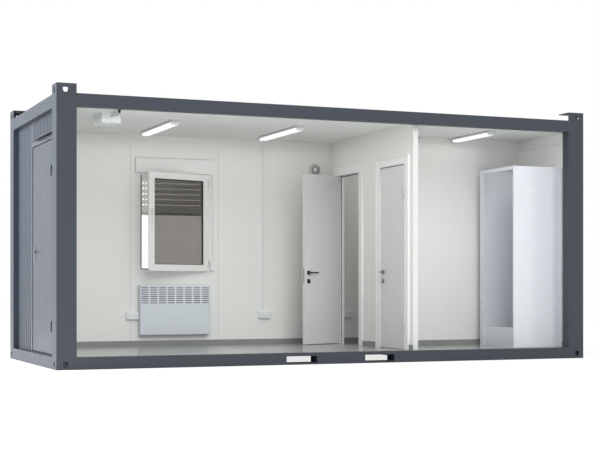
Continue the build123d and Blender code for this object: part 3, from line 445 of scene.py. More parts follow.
# Finishes
class Finish:
    """Material whose patterns lie on Object coordinates, in metres."""

    def __init__(self, name, colour, roughness):
        self.material = bpy.data.materials.new("finish_" + name)
        self.material.use_nodes = True
        self.tree = self.material.node_tree
        self.shader = self.tree.nodes["Principled BSDF"]
        self.place = self.node("ShaderNodeTexCoord").outputs["Object"]
        self.colour = (*colour, 1.0)
        self.shader.inputs["Base Color"].default_value = self.colour
        self.shader.inputs["Roughness"].default_value = roughness

    def node(self, kind, inputs=None, **settings):
        """New node; inputs are numbers, colours or other nodes' outputs."""
        made = self.tree.nodes.new(kind)
        for key, value in settings.items():
            setattr(made, key, value)
        for key, value in (inputs or {}).items():
            if isinstance(value, bpy.types.NodeSocket):
                self.tree.links.new(value, made.inputs[key])
            else:
                made.inputs[key].default_value = value
        return made

    def stretched(self, scale):
        """Object coordinates stretched along the axes."""
        return self.node("ShaderNodeMapping", {"Vector": self.place, "Scale": scale}).outputs["Vector"]

    def noise(self, scale, detail=3.0, stretch=None):
        """Cloudy pattern with scale features to the metre."""
        place = self.place if stretch is None else self.stretched(stretch)
        made = self.node("ShaderNodeTexNoise", {"Vector": place, "Scale": scale, "Detail": detail})
        return made.outputs["Fac"]

    def cells(self, scale):
        """Grainy pattern of cells, each of one value."""
        made = self.node("ShaderNodeTexVoronoi", {"Vector": self.place, "Scale": scale})
        return self.node("ShaderNodeSeparateColor", {"Color": made.outputs["Color"]}).outputs["Red"]

    def math(self, operation, first, second=0.0):
        """Pattern worked out from one or two others, or from numbers."""
        made = self.node("ShaderNodeMath", {0: first, 1: second}, operation=operation)
        return made.outputs[0]

    def axis(self, name):
        """One of the Object coordinates."""
        return self.node("ShaderNodeSeparateXYZ", {"Vector": self.place}).outputs[name]

    def wave(self, axis, pitch):
        """Sine of 2 pi / pitch times one of the Object coordinates."""
        return self.math("SINE", self.math("MULTIPLY", self.axis(axis), 2 * math.pi / pitch))

    def between(self, value, low, high, start=0.3, end=0.7):
        """Value carried from one range to another."""
        ranges = {"Value": value, "From Min": start, "From Max": end, "To Min": low, "To Max": high}
        return self.node("ShaderNodeMapRange", ranges).outputs["Result"]

    def colour_mix(self, share, first, second):
        """Colour between two others."""
        made = self.node("ShaderNodeMix", data_type="RGBA")
        colour_inputs = (made.inputs[0], made.inputs[6], made.inputs[7])
        for socket, value in zip(colour_inputs, (share, first, second)):
            if isinstance(value, bpy.types.NodeSocket):
                self.tree.links.new(value, socket)
            else:
                socket.default_value = value
        return made.outputs[2]

    def shade(self, amount):
        """The finish's own colour, lighter or darker by a share."""
        return tuple(min(1.0, part * (1 + amount)) for part in self.colour[:3]) + (1.0,)

    def mottle(self, pattern, amount):
        """Colour that wanders a little with a pattern."""
        share = self.between(pattern, 0.0, 1.0)
        self.paint(self.colour_mix(share, self.shade(-amount), self.shade(amount)))

    def paint(self, colour):
        """Lead a pattern of colours to the shader."""
        self.tree.links.new(colour, self.shader.inputs["Base Color"])

    def polish(self, pattern, low, high):
        """Roughness that wanders with a pattern."""
        self.tree.links.new(self.between(pattern, low, high), self.shader.inputs["Roughness"])

    def relief(self, height, distance, strength=1.0, edge=0.0):
        """Bump from a height, on edges rounded by a radius."""
        inputs = {"Height": height, "Distance": distance, "Strength": strength}
        if edge:
            inputs["Normal"] = self.node("ShaderNodeBevel", {"Radius": edge}, samples=3).outputs["Normal"]
        bump = self.node("ShaderNodeBump", inputs)
        self.tree.links.new(bump.outputs["Normal"], self.shader.inputs["Normal"])

    def value(self, **values):
        """Even values of the shader, by the names of its sockets with underscores."""
        for key, value in values.items():
            self.shader.inputs[key.replace("_", " ")].default_value = value


def outside_share(finish):
    """One on the outer skin and zero in the rooms, from the place across the wall."""
    ends = finish.math("SUBTRACT", finish.math("ABSOLUTE", finish.axis("X")), PAINTED_PAST_X)
    rear = finish.math("SUBTRACT", finish.axis("Y"), PAINTED_PAST_Y)
    return finish.math("GREATER_THAN", finish.math("MAXIMUM", ends, rear), 0.0)


def frame_paint(colours):
    """Satin paint on steel: orange peel, slow waves of the sheet, and softened edges."""
    finish = Finish("frame_paint", colours.frame, roughness=0.42)
    finish.mottle(finish.noise(2.2, detail=4), amount=0.012)
    finish.polish(finish.noise(7, detail=5), low=0.43, high=0.46)
    peel = finish.noise(420, detail=2)
    waves = finish.math("MULTIPLY", finish.noise(5, detail=2), 1.5)
    height = finish.math("ADD", peel, waves)
    finish.relief(height, distance=0.0002, strength=0.6, edge=0.004)
    return finish


def skinned(name, colours, inner, roughness, line_pitch=0.0):
    """Sheet that is pale in the rooms and painted as the frame outside."""
    finish = Finish(name, inner, roughness)
    share = outside_share(finish)
    cloud = finish.between(finish.noise(1.6, detail=4), 0.0, 1.0)
    pale = finish.colour_mix(cloud, finish.shade(-0.006), finish.shade(0.004))
    dark = tuple(colours.frame) + (1.0,)
    finish.paint(finish.colour_mix(share, pale, dark))
    finish.polish(finish.noise(6, detail=5), roughness - 0.01, roughness + 0.02)
    height = finish.noise(380, detail=2)
    if line_pitch:
        run = finish.math("ADD", finish.axis("X"), finish.axis("Y"))
        wave = finish.math("SINE", finish.math("MULTIPLY", run, 2 * math.pi / line_pitch))
        height = finish.math("ADD", height, finish.math("MULTIPLY", finish.math("POWER", wave, 8), 1.5))
    finish.relief(height, distance=0.0002, strength=0.5, edge=0.0015)
    return finish


def wall_sheet(colours):
    """Coated sheet with faint pressed lines."""
    return skinned("wall_sheet", colours, colours.wall, 0.42, line_pitch=0.1)


def door_sheet(colours):
    """Coated sheet of the door leaves and of the partition's edge profile."""
    return skinned("door_sheet", colours, colours.door, 0.38)


def door_frame_paint(colours):
    """Gloss paint of the door frames."""
    return skinned("door_frame_paint", colours, colours.casing, 0.32)


def ceiling_board(colours):
    """Matt coated boards, with the fine tooth of a roller."""
    finish = Finish("ceiling_board", colours.ceiling, roughness=0.6)
    finish.mottle(finish.noise(1.2, detail=3), amount=0.006)
    finish.polish(finish.noise(9, detail=4), low=0.55, high=0.68)
    finish.relief(finish.noise(300, detail=4), distance=0.0003, strength=0.5)
    return finish


def roof_zinc(colours):
    """Galvanised sheet: flat crystals that differ in shade and gloss, and a streaked film."""
    finish = Finish("roof_zinc", colours.zinc, roughness=0.45)
    crystals = finish.cells(45)
    streak = finish.noise(3, detail=5, stretch=(6, 1, 1))
    sheen = finish.math("ADD", finish.math("MULTIPLY", crystals, 0.6), finish.math("MULTIPLY", streak, 0.4))
    finish.mottle(sheen, amount=0.12)
    finish.polish(crystals, low=0.34, high=0.56)
    finish.relief(crystals, distance=0.0002, strength=0.4)
    finish.value(Metallic=0.7)
    return finish


def floor_vinyl(colours):
    """Vinyl with fine flecks under a worn gloss."""
    finish = Finish("floor_vinyl", colours.floor, roughness=0.2)
    flecks = finish.math("MULTIPLY", finish.cells(260), 0.8)
    clouds = finish.math("MULTIPLY", finish.noise(2, detail=4), 0.2)
    finish.mottle(finish.math("ADD", flecks, clouds), amount=0.02)
    finish.polish(finish.noise(3.5, detail=6), low=0.15, high=0.2)
    finish.relief(finish.noise(160, detail=3), distance=0.0002, strength=0.25)
    return finish


def skirting_grey(colours):
    """Soft plastic of the skirtings."""
    finish = Finish("skirting_grey", colours.skirting, roughness=0.5)
    finish.mottle(finish.noise(4, detail=4), amount=0.05)
    finish.polish(finish.noise(12, detail=3), low=0.42, high=0.6)
    finish.relief(finish.noise(250, detail=3), distance=0.0003, strength=0.4, edge=0.003)
    return finish


def lever_black(colours):
    """Black coated metal, rubbed a little brighter in patches."""
    finish = Finish("lever_black", colours.black, roughness=0.34)
    finish.mottle(finish.noise(45, detail=4), amount=0.25)
    finish.polish(finish.noise(80, detail=4), low=0.26, high=0.44)
    finish.relief(finish.noise(900, detail=2), distance=0.0001, strength=0.3)
    return finish


def plate_steel(colours):
    """Brushed steel: streaks that run upright."""
    finish = Finish("plate_steel", colours.steel, roughness=0.3)
    brushing = finish.noise(90, detail=3, stretch=(12, 12, 0.4))
    finish.mottle(brushing, amount=0.12)
    finish.polish(brushing, low=0.24, high=0.42)
    finish.relief(brushing, distance=0.0001, strength=0.3)
    finish.value(Metallic=1.0)
    return finish


def window_white(colours):
    """Moulded white plastic of the window and its shutter box."""
    finish = Finish("window_white", colours.plastic, roughness=0.3)
    finish.mottle(finish.noise(5, detail=3), amount=0.008)
    finish.polish(finish.noise(14, detail=4), low=0.26, high=0.36)
    finish.relief(finish.noise(500, detail=2), distance=0.0001, strength=0.3, edge=0.002)
    return finish


def window_pane(colours):
    """Tinted glass with a breath of dust."""
    finish = Finish("window_pane", colours.glass, roughness=0.0)
    finish.mottle(finish.noise(2.5, detail=3), amount=0.03)
    finish.value(Transmission_Weight=1.0, IOR=1.45)
    finish.polish(finish.noise(18, detail=5), low=0.0, high=0.03)
    finish.relief(finish.noise(3, detail=1), distance=0.0002, strength=0.1)
    return finish


def shutter_slats(colours):
    """Plastic slats with a faint grain along them, and a painted glow for the daylight that comes through.
    """
    finish = Finish("shutter_slats", colours.shutter, roughness=0.5)
    finish.mottle(finish.noise(20, detail=3, stretch=(0.2, 1, 4)), amount=0.02)
    finish.polish(finish.noise(12, detail=3), low=0.42, high=0.58)
    finish.relief(finish.noise(60, detail=2, stretch=(0.1, 1, 6)), distance=0.0003, strength=0.4)
    # Painted glow: emission brightens the slats as if daylight came through them
    finish.value(Emission_Color=finish.colour, Emission_Strength=0.27)
    return finish


def strap_grey(colours):
    """Woven strap: weft bars across it and a selvedge grain."""
    finish = Finish("strap_grey", colours.plastic, roughness=0.75)
    weft = finish.wave("Z", 0.003)
    warp = finish.wave("X", 0.0025)
    weave = finish.math("MULTIPLY", weft, warp)
    finish.mottle(finish.between(weave, low=0.3, high=0.7, start=-1.0, end=1.0), amount=0.16)
    finish.polish(finish.noise(200, detail=2), low=0.65, high=0.85)
    finish.relief(weave, distance=0.0004, strength=0.5)
    return finish


def heater_white(colours):
    """Powder-coated sheet of the heater."""
    finish = Finish("heater_white", colours.heater, roughness=0.4)
    finish.mottle(finish.noise(3, detail=3), amount=0.025)
    finish.polish(finish.noise(10, detail=4), low=0.34, high=0.48)
    finish.relief(finish.noise(700, detail=2), distance=0.0002, strength=0.5, edge=0.002)
    return finish


def electric_white(colours):
    """Moulded plastic of sockets, conduits and boxes."""
    finish = Finish("electric_white", colours.electric, roughness=0.32)
    finish.mottle(finish.noise(9, detail=3), amount=0.02)
    finish.polish(finish.noise(25, detail=3), low=0.26, high=0.4)
    finish.relief(finish.noise(600, detail=2), distance=0.0001, strength=0.3, edge=0.0015)
    return finish


def diffuser_white(colours):
    """Lit lamp cover, a little brighter along its ribs."""
    finish = Finish("diffuser_white", colours.electric, roughness=0.35)
    ribs = finish.wave("X", 0.006)
    finish.mottle(finish.noise(6, detail=3), amount=0.02)
    finish.polish(finish.noise(20, detail=3), low=0.28, high=0.45)
    finish.relief(ribs, distance=0.0003, strength=0.5)
    finish.value(Emission_Color=(1.0, 1.0, 0.98, 1.0))
    finish.value(Emission_Strength=bpy.context.scene.cabin_studio.lamp_glow)
    return finish


def shower_white(colours):
    """Glossy acrylic with a clear skin."""
    finish = Finish("shower_white", colours.shower, roughness=0.2)
    finish.mottle(finish.noise(1.5, detail=3), amount=0.015)
    finish.polish(finish.noise(5, detail=5), low=0.14, high=0.28)
    finish.relief(finish.noise(8, detail=2), distance=0.0006, strength=0.25, edge=0.002)
    finish.value(Coat_Weight=0.4, Coat_Roughness=0.12)
    return finish


def wall_joint(colours):
    """Plastic bead in the joints of the wall boards, and the grey of the lines that are partly painted
    shadow under the friezes and round the shutter box.
    """
    finish = Finish("wall_joint", colours.joint, roughness=0.5)
    finish.mottle(finish.noise(12, detail=3), amount=0.02)
    finish.polish(finish.noise(30, detail=3), low=0.42, high=0.58)
    finish.relief(finish.noise(500, detail=2), distance=0.0001, strength=0.3)
    return finish


def grey_satin(colours):
    """Satin grey of the shower-room door's lever and roses."""
    return satin("grey_satin", colours.grey)


def pale_satin(colours):
    """Paler satin grey of hinge covers, the fan and conduit, and painted shade on the lamp trays."""
    return satin("pale_satin", colours.pale)


def satin(name, colour):
    """Satin paint with a fine grain."""
    finish = Finish(name, colour, roughness=0.38)
    finish.mottle(finish.noise(40, detail=3), amount=0.03)
    finish.polish(finish.noise(60, detail=3), low=0.32, high=0.46)
    finish.relief(finish.noise(700, detail=2), distance=0.0001, strength=0.3)
    return finish


def rubber(colours):
    """Dark rubber, and painted shade for the depth of slots and holes."""
    finish = Finish("rubber", colours.rubber, roughness=0.7)
    finish.mottle(finish.noise(30, detail=3), amount=0.15)
    finish.polish(finish.noise(60, detail=3), low=0.6, high=0.85)
    finish.relief(finish.noise(400, detail=2), distance=0.0002, strength=0.4)
    return finish


def daylight_slot(colours):
    """Daylight in the slots between the slats."""
    finish = Finish("daylight_slot", colours.rubber, roughness=0.6)
    finish.mottle(finish.noise(40, detail=2), amount=0.02)
    finish.polish(finish.noise(60, detail=2), low=0.5, high=0.7)
    finish.value(Emission_Color=(1.0, 1.0, 1.0, 1.0), Emission_Strength=3.0)
    return finish


FINISHES = {
    "frame_paint": frame_paint,
    "wall_sheet": wall_sheet,
    "ceiling_board": ceiling_board,
    "roof_zinc": roof_zinc,
    "floor_vinyl": floor_vinyl,
    "skirting_grey": skirting_grey,
    "door_sheet": door_sheet,
    "door_frame_paint": door_frame_paint,
    "lever_black": lever_black,
    "plate_steel": plate_steel,
    "window_white": window_white,
    "window_pane": window_pane,
    "shutter_grey": shutter_slats,
    "strap_grey": strap_grey,
    "heater_white": heater_white,
    "electric_white": electric_white,
    "diffuser_white": diffuser_white,
    "shower_white": shower_white,
    "wall_joint": wall_joint,
    "grey_satin": grey_satin,
    "pale_satin": pale_satin,
    "rubber": rubber,
    "daylight_slot": daylight_slot,
}
made_finishes = {}


def finish_of(name):
    """Material of a finish, made once."""
    if name not in made_finishes:
        made_finishes[name] = FINISHES[name](bpy.context.scene.cabin_colours).material
    return made_finishes[name]


def make_piece(name, surfaces, finish, body, replaced=()):
    """Object from closed surfaces that rides on a body."""
    facing = [surface.outward() for surface in surfaces]
    starts = np.cumsum([0] + [len(surface.points) for surface in facing])
    points = np.concatenate([surface.points for surface in facing])
    quads = np.concatenate([surface.quads + start for surface, start in zip(facing, starts)])
    triangles = np.concatenate([surface.triangles + start for surface, start in zip(facing, starts)])
    mesh = bpy.data.meshes.new(name)
    mesh.from_pydata(points.tolist(), [], quads.tolist() + triangles.tolist())
    mesh.polygons.foreach_set("use_smooth", np.ones(len(mesh.polygons), dtype=bool))
    mesh.set_sharp_from_angle(angle=SHARP_EDGE)
    mesh.materials.append(finish_of(finish))
    piece = bpy.data.objects.new(name, mesh)
    bpy.context.scene.collection.objects.link(piece)
    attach(piece, body)
    if replaced:
        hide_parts(*replaced)
    return piece


def low_high(node):
    """Lowest and highest corners of a CAD node, as arrays."""
    low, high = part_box(node)
    return np.array(low), np.array(high)


class Leaf:
    """Places on a door leaf at rest, from its sizes and the joints of its hinge and lever."""

    def __init__(self, name):
        lever = JOINTS[name + "_lever_turn"]
        low, high = low_high(name + "_door_leaf")
        self.body = name + "_door"
        self.sizes = DOORS[name]
        self.pin = np.array(JOINTS[name + "_door_hinge"]["pos_m"], float)
        self.spindle = np.array(lever["pos_m"], float)
        self.out = np.array(lever["axis"], float)
        toward = self.pin - self.spindle
        toward = toward - self.out * (toward @ self.out)
        toward[2] = 0
        self.inward = toward / np.linalg.norm(toward)
        self.foot = low[2]
        self.head = high[2]

    def faces(self):
        """For each face, the direction out of it and the spindle's place on it."""
        outs = [self.out * side for side in SIDES]
        return [(out, self.spindle + out * LEAF_HALF) for out in outs]

    def free_edge(self):
        """Middle of the leaf's free edge at the spindle's height."""
        along = (self.spindle - self.pin) @ -self.inward
        return self.spindle - self.inward * (self.sizes.gap + self.sizes.width - along)


# Pieces
class CABIN_OT_cad_finishes(Operator):
    """Give every CAD piece the material of its slot"""

    bl_idname = "cabin.cad_finishes"
    bl_label = "Finish the CAD pieces"

    def execute(self, context):
        for node in frame["nodes"].values():
            for slot in node.material_slots:
                slot.material = finish_of(slot.material.name.split(".")[0])
        return {"FINISHED"}


class CABIN_OT_levers(Operator):
    """Bent lever handles on both faces of each door, in place of the plain ones"""

    bl_idname = "cabin.levers"
    bl_label = "Lever handles"

    def execute(self, context):
        bend = 0.016
        flatness = 0.72
        spindle_radius = 0.005
        for name, finish, reach, length, radius in (
            ("toilet", "lever_black", 0.047, 0.130, 0.009),
            ("shower", "grey_satin", 0.047, 0.130, 0.009),
            ("entrance", "lever_black", 0.033, 0.150, 0.008),
        ):
            leaf = Leaf(name)
            faces = leaf.faces()
            bar = swept_bar(hooked_path(reach, length, bend), NORTH, radius, radius * flatness)
            bars = [bar.placed(place, leaf.inward, UP, out) for out, place in faces]
            bars.append(rod(faces[0][1], faces[1][1], spindle_radius))
            make_piece(
                name + "_lever_bars", bars, finish, name + "_lever",
                replaced=[name + "_door_lever"],
            )
        return {"FINISHED"}


class CABIN_OT_roses(Operator):
    """Roses with key plates on the inner doors and long plates on the entrance door"""

    bl_idname = "cabin.roses"
    bl_label = "Roses and plates"

    def execute(self, context):
        thickness = 0.008
        cylinder_face = 0.0108
        inner_lock = 0.101
        entrance_lock = 0.072
        plate_middle = 0.022
        rose = slab(0.050, 0.050, thickness, corner=0.006, edge=0.002)
        plate = slab(0.040, 0.176, thickness, corner=0.012, edge=0.002)
        collar = spun([0.0135, 0.0135, 0.012], [thickness, 0.0105, 0.012], steps=24)
        cylinder = spun([0.0085, 0.0085, 0.0075], [thickness, 0.0100, cylinder_face], steps=20)
        # Dark strip on each cylinder's face: painted shade for the depth of the keyway
        keyway = slab(0.0022, 0.010, depth=0.0006, corner=0.0008, edge=0.0002).moved((0, 0, cylinder_face))
        rose_set = [(rose, 0), (collar, 0), (rose, inner_lock), (cylinder, inner_lock)]
        plate_set = [(plate, plate_middle), (collar, 0), (cylinder, entrance_lock)]
        for name, kind, finish, parts, lock, replaced in (
            ("toilet", "rose", "lever_black", rose_set, inner_lock, "toilet_door_roses"),
            ("shower", "rose", "grey_satin", rose_set, inner_lock, "shower_door_roses"),
            ("entrance", "plate", "plate_steel", plate_set, entrance_lock, "entrance_door_plates"),
        ):
            leaf = Leaf(name)
            metal = []
            keyways = []
            for out, face in leaf.faces():
                metal += [part.placed(face + DOWN * drop, leaf.inward, UP, out) for part, drop in parts]
                keyways.append(keyway.placed(face + DOWN * lock, leaf.inward, UP, out))
            make_piece(f"{name}_{kind}_set", metal, finish, leaf.body, replaced=[replaced])
            # Painted shade of the keyholes
            make_piece(name + "_keyholes", keyways, "rubber", leaf.body)
        return {"FINISHED"}


class CABIN_OT_lock_plates(Operator):
    """Lock fronts on the free edge of each leaf, with bolt and screws"""

    bl_idname = "cabin.lock_plates"
    bl_label = "Lock fronts"

    def execute(self, context):
        below_spindle = 0.035
        screw_rise = 0.076
        front = slab(0.018, 0.170, depth=0.0012, corner=0.009, edge=0.0004)
        latch = slab(0.012, 0.026, depth=0.0045, corner=0.002, edge=0.002)
        screw = dome_head(radius=0.0035, height=0.0012)
        parts = [(front, 0), (latch, below_spindle), (screw, -screw_rise), (screw, screw_rise)]
        for name in DOORS:
            leaf = Leaf(name)
            middle = leaf.free_edge() + DOWN * below_spindle
            plates = [part.placed(middle + UP * rise, leaf.out, UP, -leaf.inward) for part, rise in parts]
            make_piece(name + "_lock_front", plates, "plate_steel", leaf.body)
        return {"FINISHED"}


class CABIN_OT_hinges(Operator):
    """Covers of the hinges' knuckles and flaps, with their screws"""

    bl_idname = "cabin.hinges"
    bl_label = "Hinges"

    def execute(self, context):
        from_foot = 0.277
        from_head = 0.313
        tall = 0.0556
        split = 0.0003
        flap_on_leaf = 0.018
        flap_from_pin = 0.003
        flap_skin = 0.0004
        plate_depth = 0.0094
        plate_from_pin = 0.0102
        pin_proud = 0.009
        screw_from_middle = 0.003
        screw_rises = (-0.016, 0.016)
        knuckle = spun([0.0066, 0.0076, 0.0076, 0.0066], [split, 0.0012, tall - 0.001, tall], steps=24)
        plate = slab(0.0205, tall, plate_depth, corner=0.001, edge=0.001, steps=3)
        screw = dome_head(radius=0.0032, height=0.001)
        for name, near, finish in (
            ("toilet", 0.023, "pale_satin"),
            ("shower", 0.023, "pale_satin"),
            ("entrance", 0.014, "frame_paint"),
        ):
            leaf = Leaf(name)
            toward = leaf.out * np.sign((leaf.spindle - leaf.pin) @ leaf.out)
            jamb = NORTH * leaf.sizes.jamb
            width = leaf.sizes.gap + flap_on_leaf
            flap = slab(width, tall, near + flap_skin, corner=0.001, edge=0.001, steps=3)
            flaps = []
            plates = []
            for height in (leaf.foot + from_foot, leaf.head - from_head):
                pin = np.array([leaf.pin[0], leaf.pin[1], height])
                rise = UP * (tall / 2 + split)
                flaps.append(knuckle.placed(pin, EAST, NORTH, UP))
                middle = pin - leaf.inward * (flap_from_pin + width / 2) + toward * near + rise
                flaps.append(flap.placed(middle, leaf.inward, UP, -toward))
                face = middle - toward * (near + flap_skin)
                flaps += [screw.placed(face + UP * z, leaf.inward, UP, -toward) for z in screw_rises]
                plates.append(knuckle.placed(pin, EAST, NORTH, DOWN))
                middle = pin + jamb * plate_from_pin + EAST * pin_proud - rise
                plates.append(plate.placed(middle, NORTH, UP, WEST))
                face = middle + WEST * plate_depth + jamb * screw_from_middle
                plates += [screw.placed(face + UP * z, NORTH, UP, WEST) for z in screw_rises]
            make_piece(name + "_hinge_flaps", flaps, finish, leaf.body)
            make_piece(name + "_hinge_plates", plates, finish, "cabin")
        return {"FINISHED"}


class CABIN_OT_door_seals(Operator):
    """Seals on the stops of the door frames, whose dark is partly painted shade in the gap round each leaf
    """

    bl_idname = "cabin.door_seals"
    bl_label = "Door seals"

    def execute(self, context):
        width = context.scene.cabin_sizes.seal
        depth = 0.003
        inset = 0.004
        above_floor = 0.02
        for name, sizes in DOORS.items():
            low, high = low_high(name + "_door_frame")
            near = low[1] + sizes.band + inset
            far = high[1] - sizes.band - inset
            head = high[2] - sizes.head_band - inset
            foot = low[2] + above_floor
            back = sizes.stop - depth
            strips = [
                box_between((back, near, foot), (sizes.stop, near + width, head), edge=0.0012),
                box_between((back, far - width, foot), (sizes.stop, far, head), edge=0.0012),
                box_between((back, near, head - width), (sizes.stop, far, head), edge=0.0012),
            ]
            make_piece(name + "_door_seal", strips, "rubber", "cabin")
        return {"FINISHED"}


class CABIN_OT_wall_trim(Operator):
    """Friezes under the ceiling, beads in the wall joints and the partition's edge profile"""

    bl_idname = "cabin.wall_trim"
    bl_label = "Friezes, beads and edge profile"

    def execute(self, context):
        sizes = context.scene.cabin_sizes
        rooms = room_faces()
        make_friezes(rooms, sizes)
        make_joint_beads(rooms, sizes)
        make_edge_profile(rooms)
        return {"FINISHED"}


def room_faces():
    """Where the faces of the rooms lie along X, Y or Z."""
    return SimpleNamespace(
        left=low_high("left_end_wall_rear")[1][0],
        right=low_high("right_end_wall")[0][0],
        front=low_high("partition_front")[0][1],
        rear=low_high("rear_wall_right")[0][1],
        partition_left=low_high("partition_rear")[0][0],
        partition_right=low_high("partition_rear")[1][0],
        cross_front=low_high("cross_wall")[0][1],
        cross_rear=low_high("cross_wall")[1][1],
        deck=low_high("floor_deck")[1][2],
        skirting=low_high("skirtings")[1][2],
        ceiling=low_high("ceiling_panel")[0][2] + CEILING_PACKER,
    )


def make_friezes(rooms, sizes):
    """Strips round the three rooms under the ceiling, butted in the corners."""
    top = rooms.ceiling
    low = top - sizes.frieze_height
    deep = sizes.frieze_depth
    runs = [
        ((rooms.left, rooms.front), (rooms.left + deep, rooms.rear)),
        ((rooms.left + deep, rooms.rear - deep), (rooms.partition_left, rooms.rear)),
        ((rooms.partition_left - deep, rooms.front), (rooms.partition_left, rooms.rear - deep)),
        ((rooms.partition_right, rooms.rear - deep), (rooms.right, rooms.rear)),
        ((rooms.right - deep, rooms.cross_rear), (rooms.right, rooms.rear - deep)),
        ((rooms.partition_right, rooms.cross_rear), (rooms.partition_right + deep, rooms.rear - deep)),
        ((rooms.partition_right + deep, rooms.cross_rear), (rooms.right - deep, rooms.cross_rear + deep)),
        ((rooms.partition_right, rooms.cross_front - deep), (rooms.right, rooms.cross_front)),
        ((rooms.right - deep, rooms.front), (rooms.right, rooms.cross_front - deep)),
        ((rooms.partition_right, rooms.front), (rooms.partition_right + deep, rooms.cross_front - deep)),
    ]
    friezes = [box_between((*start, low), (*end, top), edge=0.0012) for start, end in runs]
    make_piece("wall_friezes", friezes, "wall_sheet", "cabin")


def make_joint_beads(rooms, sizes):
    """Beads beside the window panel, and lines under the friezes of the right end wall that are partly
    painted shade under the frieze.
    """
    proud = 0.0012
    line_height = 0.004
    half = sizes.bead / 2
    low = rooms.ceiling - sizes.frieze_height
    joints = [corner[0] for corner in low_high("rear_wall_window_panel")]
    beads = []
    for x in joints:
        start = (x - half, rooms.rear - proud, rooms.skirting)
        beads.append(box_between(start, (x + half, rooms.rear, low), edge=0.0004))
    # Lines under the frieze: a joint, and partly painted shade under the frieze's edge
    deep = sizes.frieze_depth + 0.001
    for front, rear in ((rooms.cross_rear, rooms.rear - deep), (rooms.front, rooms.cross_front)):
        start = (rooms.right - deep, front, low - line_height)
        beads.append(box_between(start, (rooms.right, rear, low), edge=0.001))
    make_piece("wall_joint_beads_and_shade_lines", beads, "wall_joint", "cabin")


def make_edge_profile(rooms):
    """Channel of thin sheet over the partition's front end."""
    sheet = 0.0015
    leg = 0.018
    left, right, front, top = rooms.partition_left, rooms.partition_right, rooms.front, rooms.ceiling
    foot = low_high("partition_front")[0][2]
    profile = [
        box_between((left - sheet, front - sheet, foot), (right + sheet, front, top), edge=0.0006),
        box_between((left - sheet, front, foot), (left, front + leg, top), edge=0.0006),
        box_between((right, front, foot), (right + sheet, front + leg, top), edge=0.0006),
    ]
    make_piece("partition_edge_profile", profile, "door_sheet", "cabin")


class CABIN_OT_window_trim(Operator):
    """Gaskets of the window frame and the pane, and the sash's bent handle"""

    bl_idname = "cabin.window_trim"
    bl_label = "Window gaskets and handle"

    def execute(self, context):
        sizes = context.scene.cabin_sizes
        along, out, start = sash_axes()
        make_frame_gasket(sizes.gasket)
        make_sash_gaskets(along, out, start, sizes.seal)
        make_sash_handle(along, out)
        return {"FINISHED"}


def make_frame_gasket(gasket):
    """Gasket round the window frame's opening: two posts and the rail at the foot."""
    low, high = low_high("window_frame")
    middle = (low + high) / 2
    wall = low_high("rear_wall_left")[0][1]
    width = high[0] - low[0] - 2 * WINDOW_FACE + 2 * gasket
    height = high[2] - low[2] - 2 * WINDOW_FACE + 2 * gasket
    post = slab(gasket, height, depth=0.004, corner=0.001, edge=0.001, steps=3)
    rail = slab(width, gasket, depth=0.004, corner=0.001, edge=0.001, steps=3)
    posts = post.at([((width - gasket) / 2 * side, 0, 0) for side in SIDES])
    rail = rail.moved((0, -(height - gasket) / 2, 0))
    strips = [part.placed((middle[0], wall, middle[2]), WEST, UP, SOUTH) for part in (posts, rail)]
    make_piece("window_frame_gasket", strips, "rubber", "cabin")


def make_sash_gaskets(along, out, start, seal):
    """Seals round the pane on both of its faces, whose dark is partly painted shade in the glazing rebate.
    """
    width, height = pane_size()
    glazing = frame_strip(width, height, seal, depth=0.0025)
    strips = []
    for depth, side in ((PANE_SETBACK, -1), (PANE_SETBACK + PANE_THICKNESS, 1)):
        centre = start + out * depth
        strips += [part.placed(centre, along, UP, out * side) for part in glazing]
    make_piece("sash_gaskets", strips, "rubber", "cabin")


def make_sash_handle(along, out):
    """Handle that hangs down from a rose on the sash's room face."""
    rose_height = 0.064
    seat_depth = 0.025
    low, high = low_high("window_handle")
    seat = (low + high) / 2 + out * seat_depth
    seat[2] = high[2] - rose_height / 2
    rose = slab(0.028, rose_height, depth=0.008, corner=0.008, edge=0.003, steps=5)
    path = hooked_path(reach=0.046, length=0.129, bend=0.014)
    bar = swept_bar(path, NORTH, half_width=0.008, half_depth=0.006)
    handle = [rose.placed(seat, along, UP, -out), bar.placed(seat, DOWN, along, -out)]
    make_piece(
        "sash_handle_bar", handle, "window_white", "cabin", replaced=["window_handle"]
    )


def sash_axes():
    """Direction along the open sash, its outward direction, and the room side of the pane's middle."""
    low, high = low_high("window_glass")
    along = np.array([-math.cos(SASH_ANGLE), -math.sin(SASH_ANGLE), 0.0])
    out = np.array([along[1], -along[0], 0.0])
    start = (low + high) / 2 - out * (PANE_THICKNESS / 2 + PANE_SETBACK)
    return along, out, start


def pane_size():
    """Width along the sash and height of the pane, from the box round its turned solid."""
    low, high = low_high("window_glass")
    width = (high[0] - low[0] - PANE_THICKNESS * math.sin(SASH_ANGLE)) / math.cos(SASH_ANGLE)
    return width, high[2] - low[2]


class CABIN_OT_shutter(Operator):
    """Shutter's light slots and foot bar, joint lines round its box that are partly painted shadow, and its
    winder and strap
    """

    bl_idname = "cabin.shutter"
    bl_label = "Roller shutter"

    def execute(self, context):
        make_light_slots(context.scene.cabin_sizes)
        make_foot_bar()
        make_box_joint_and_shadow()
        make_winder()
        return {"FINISHED"}


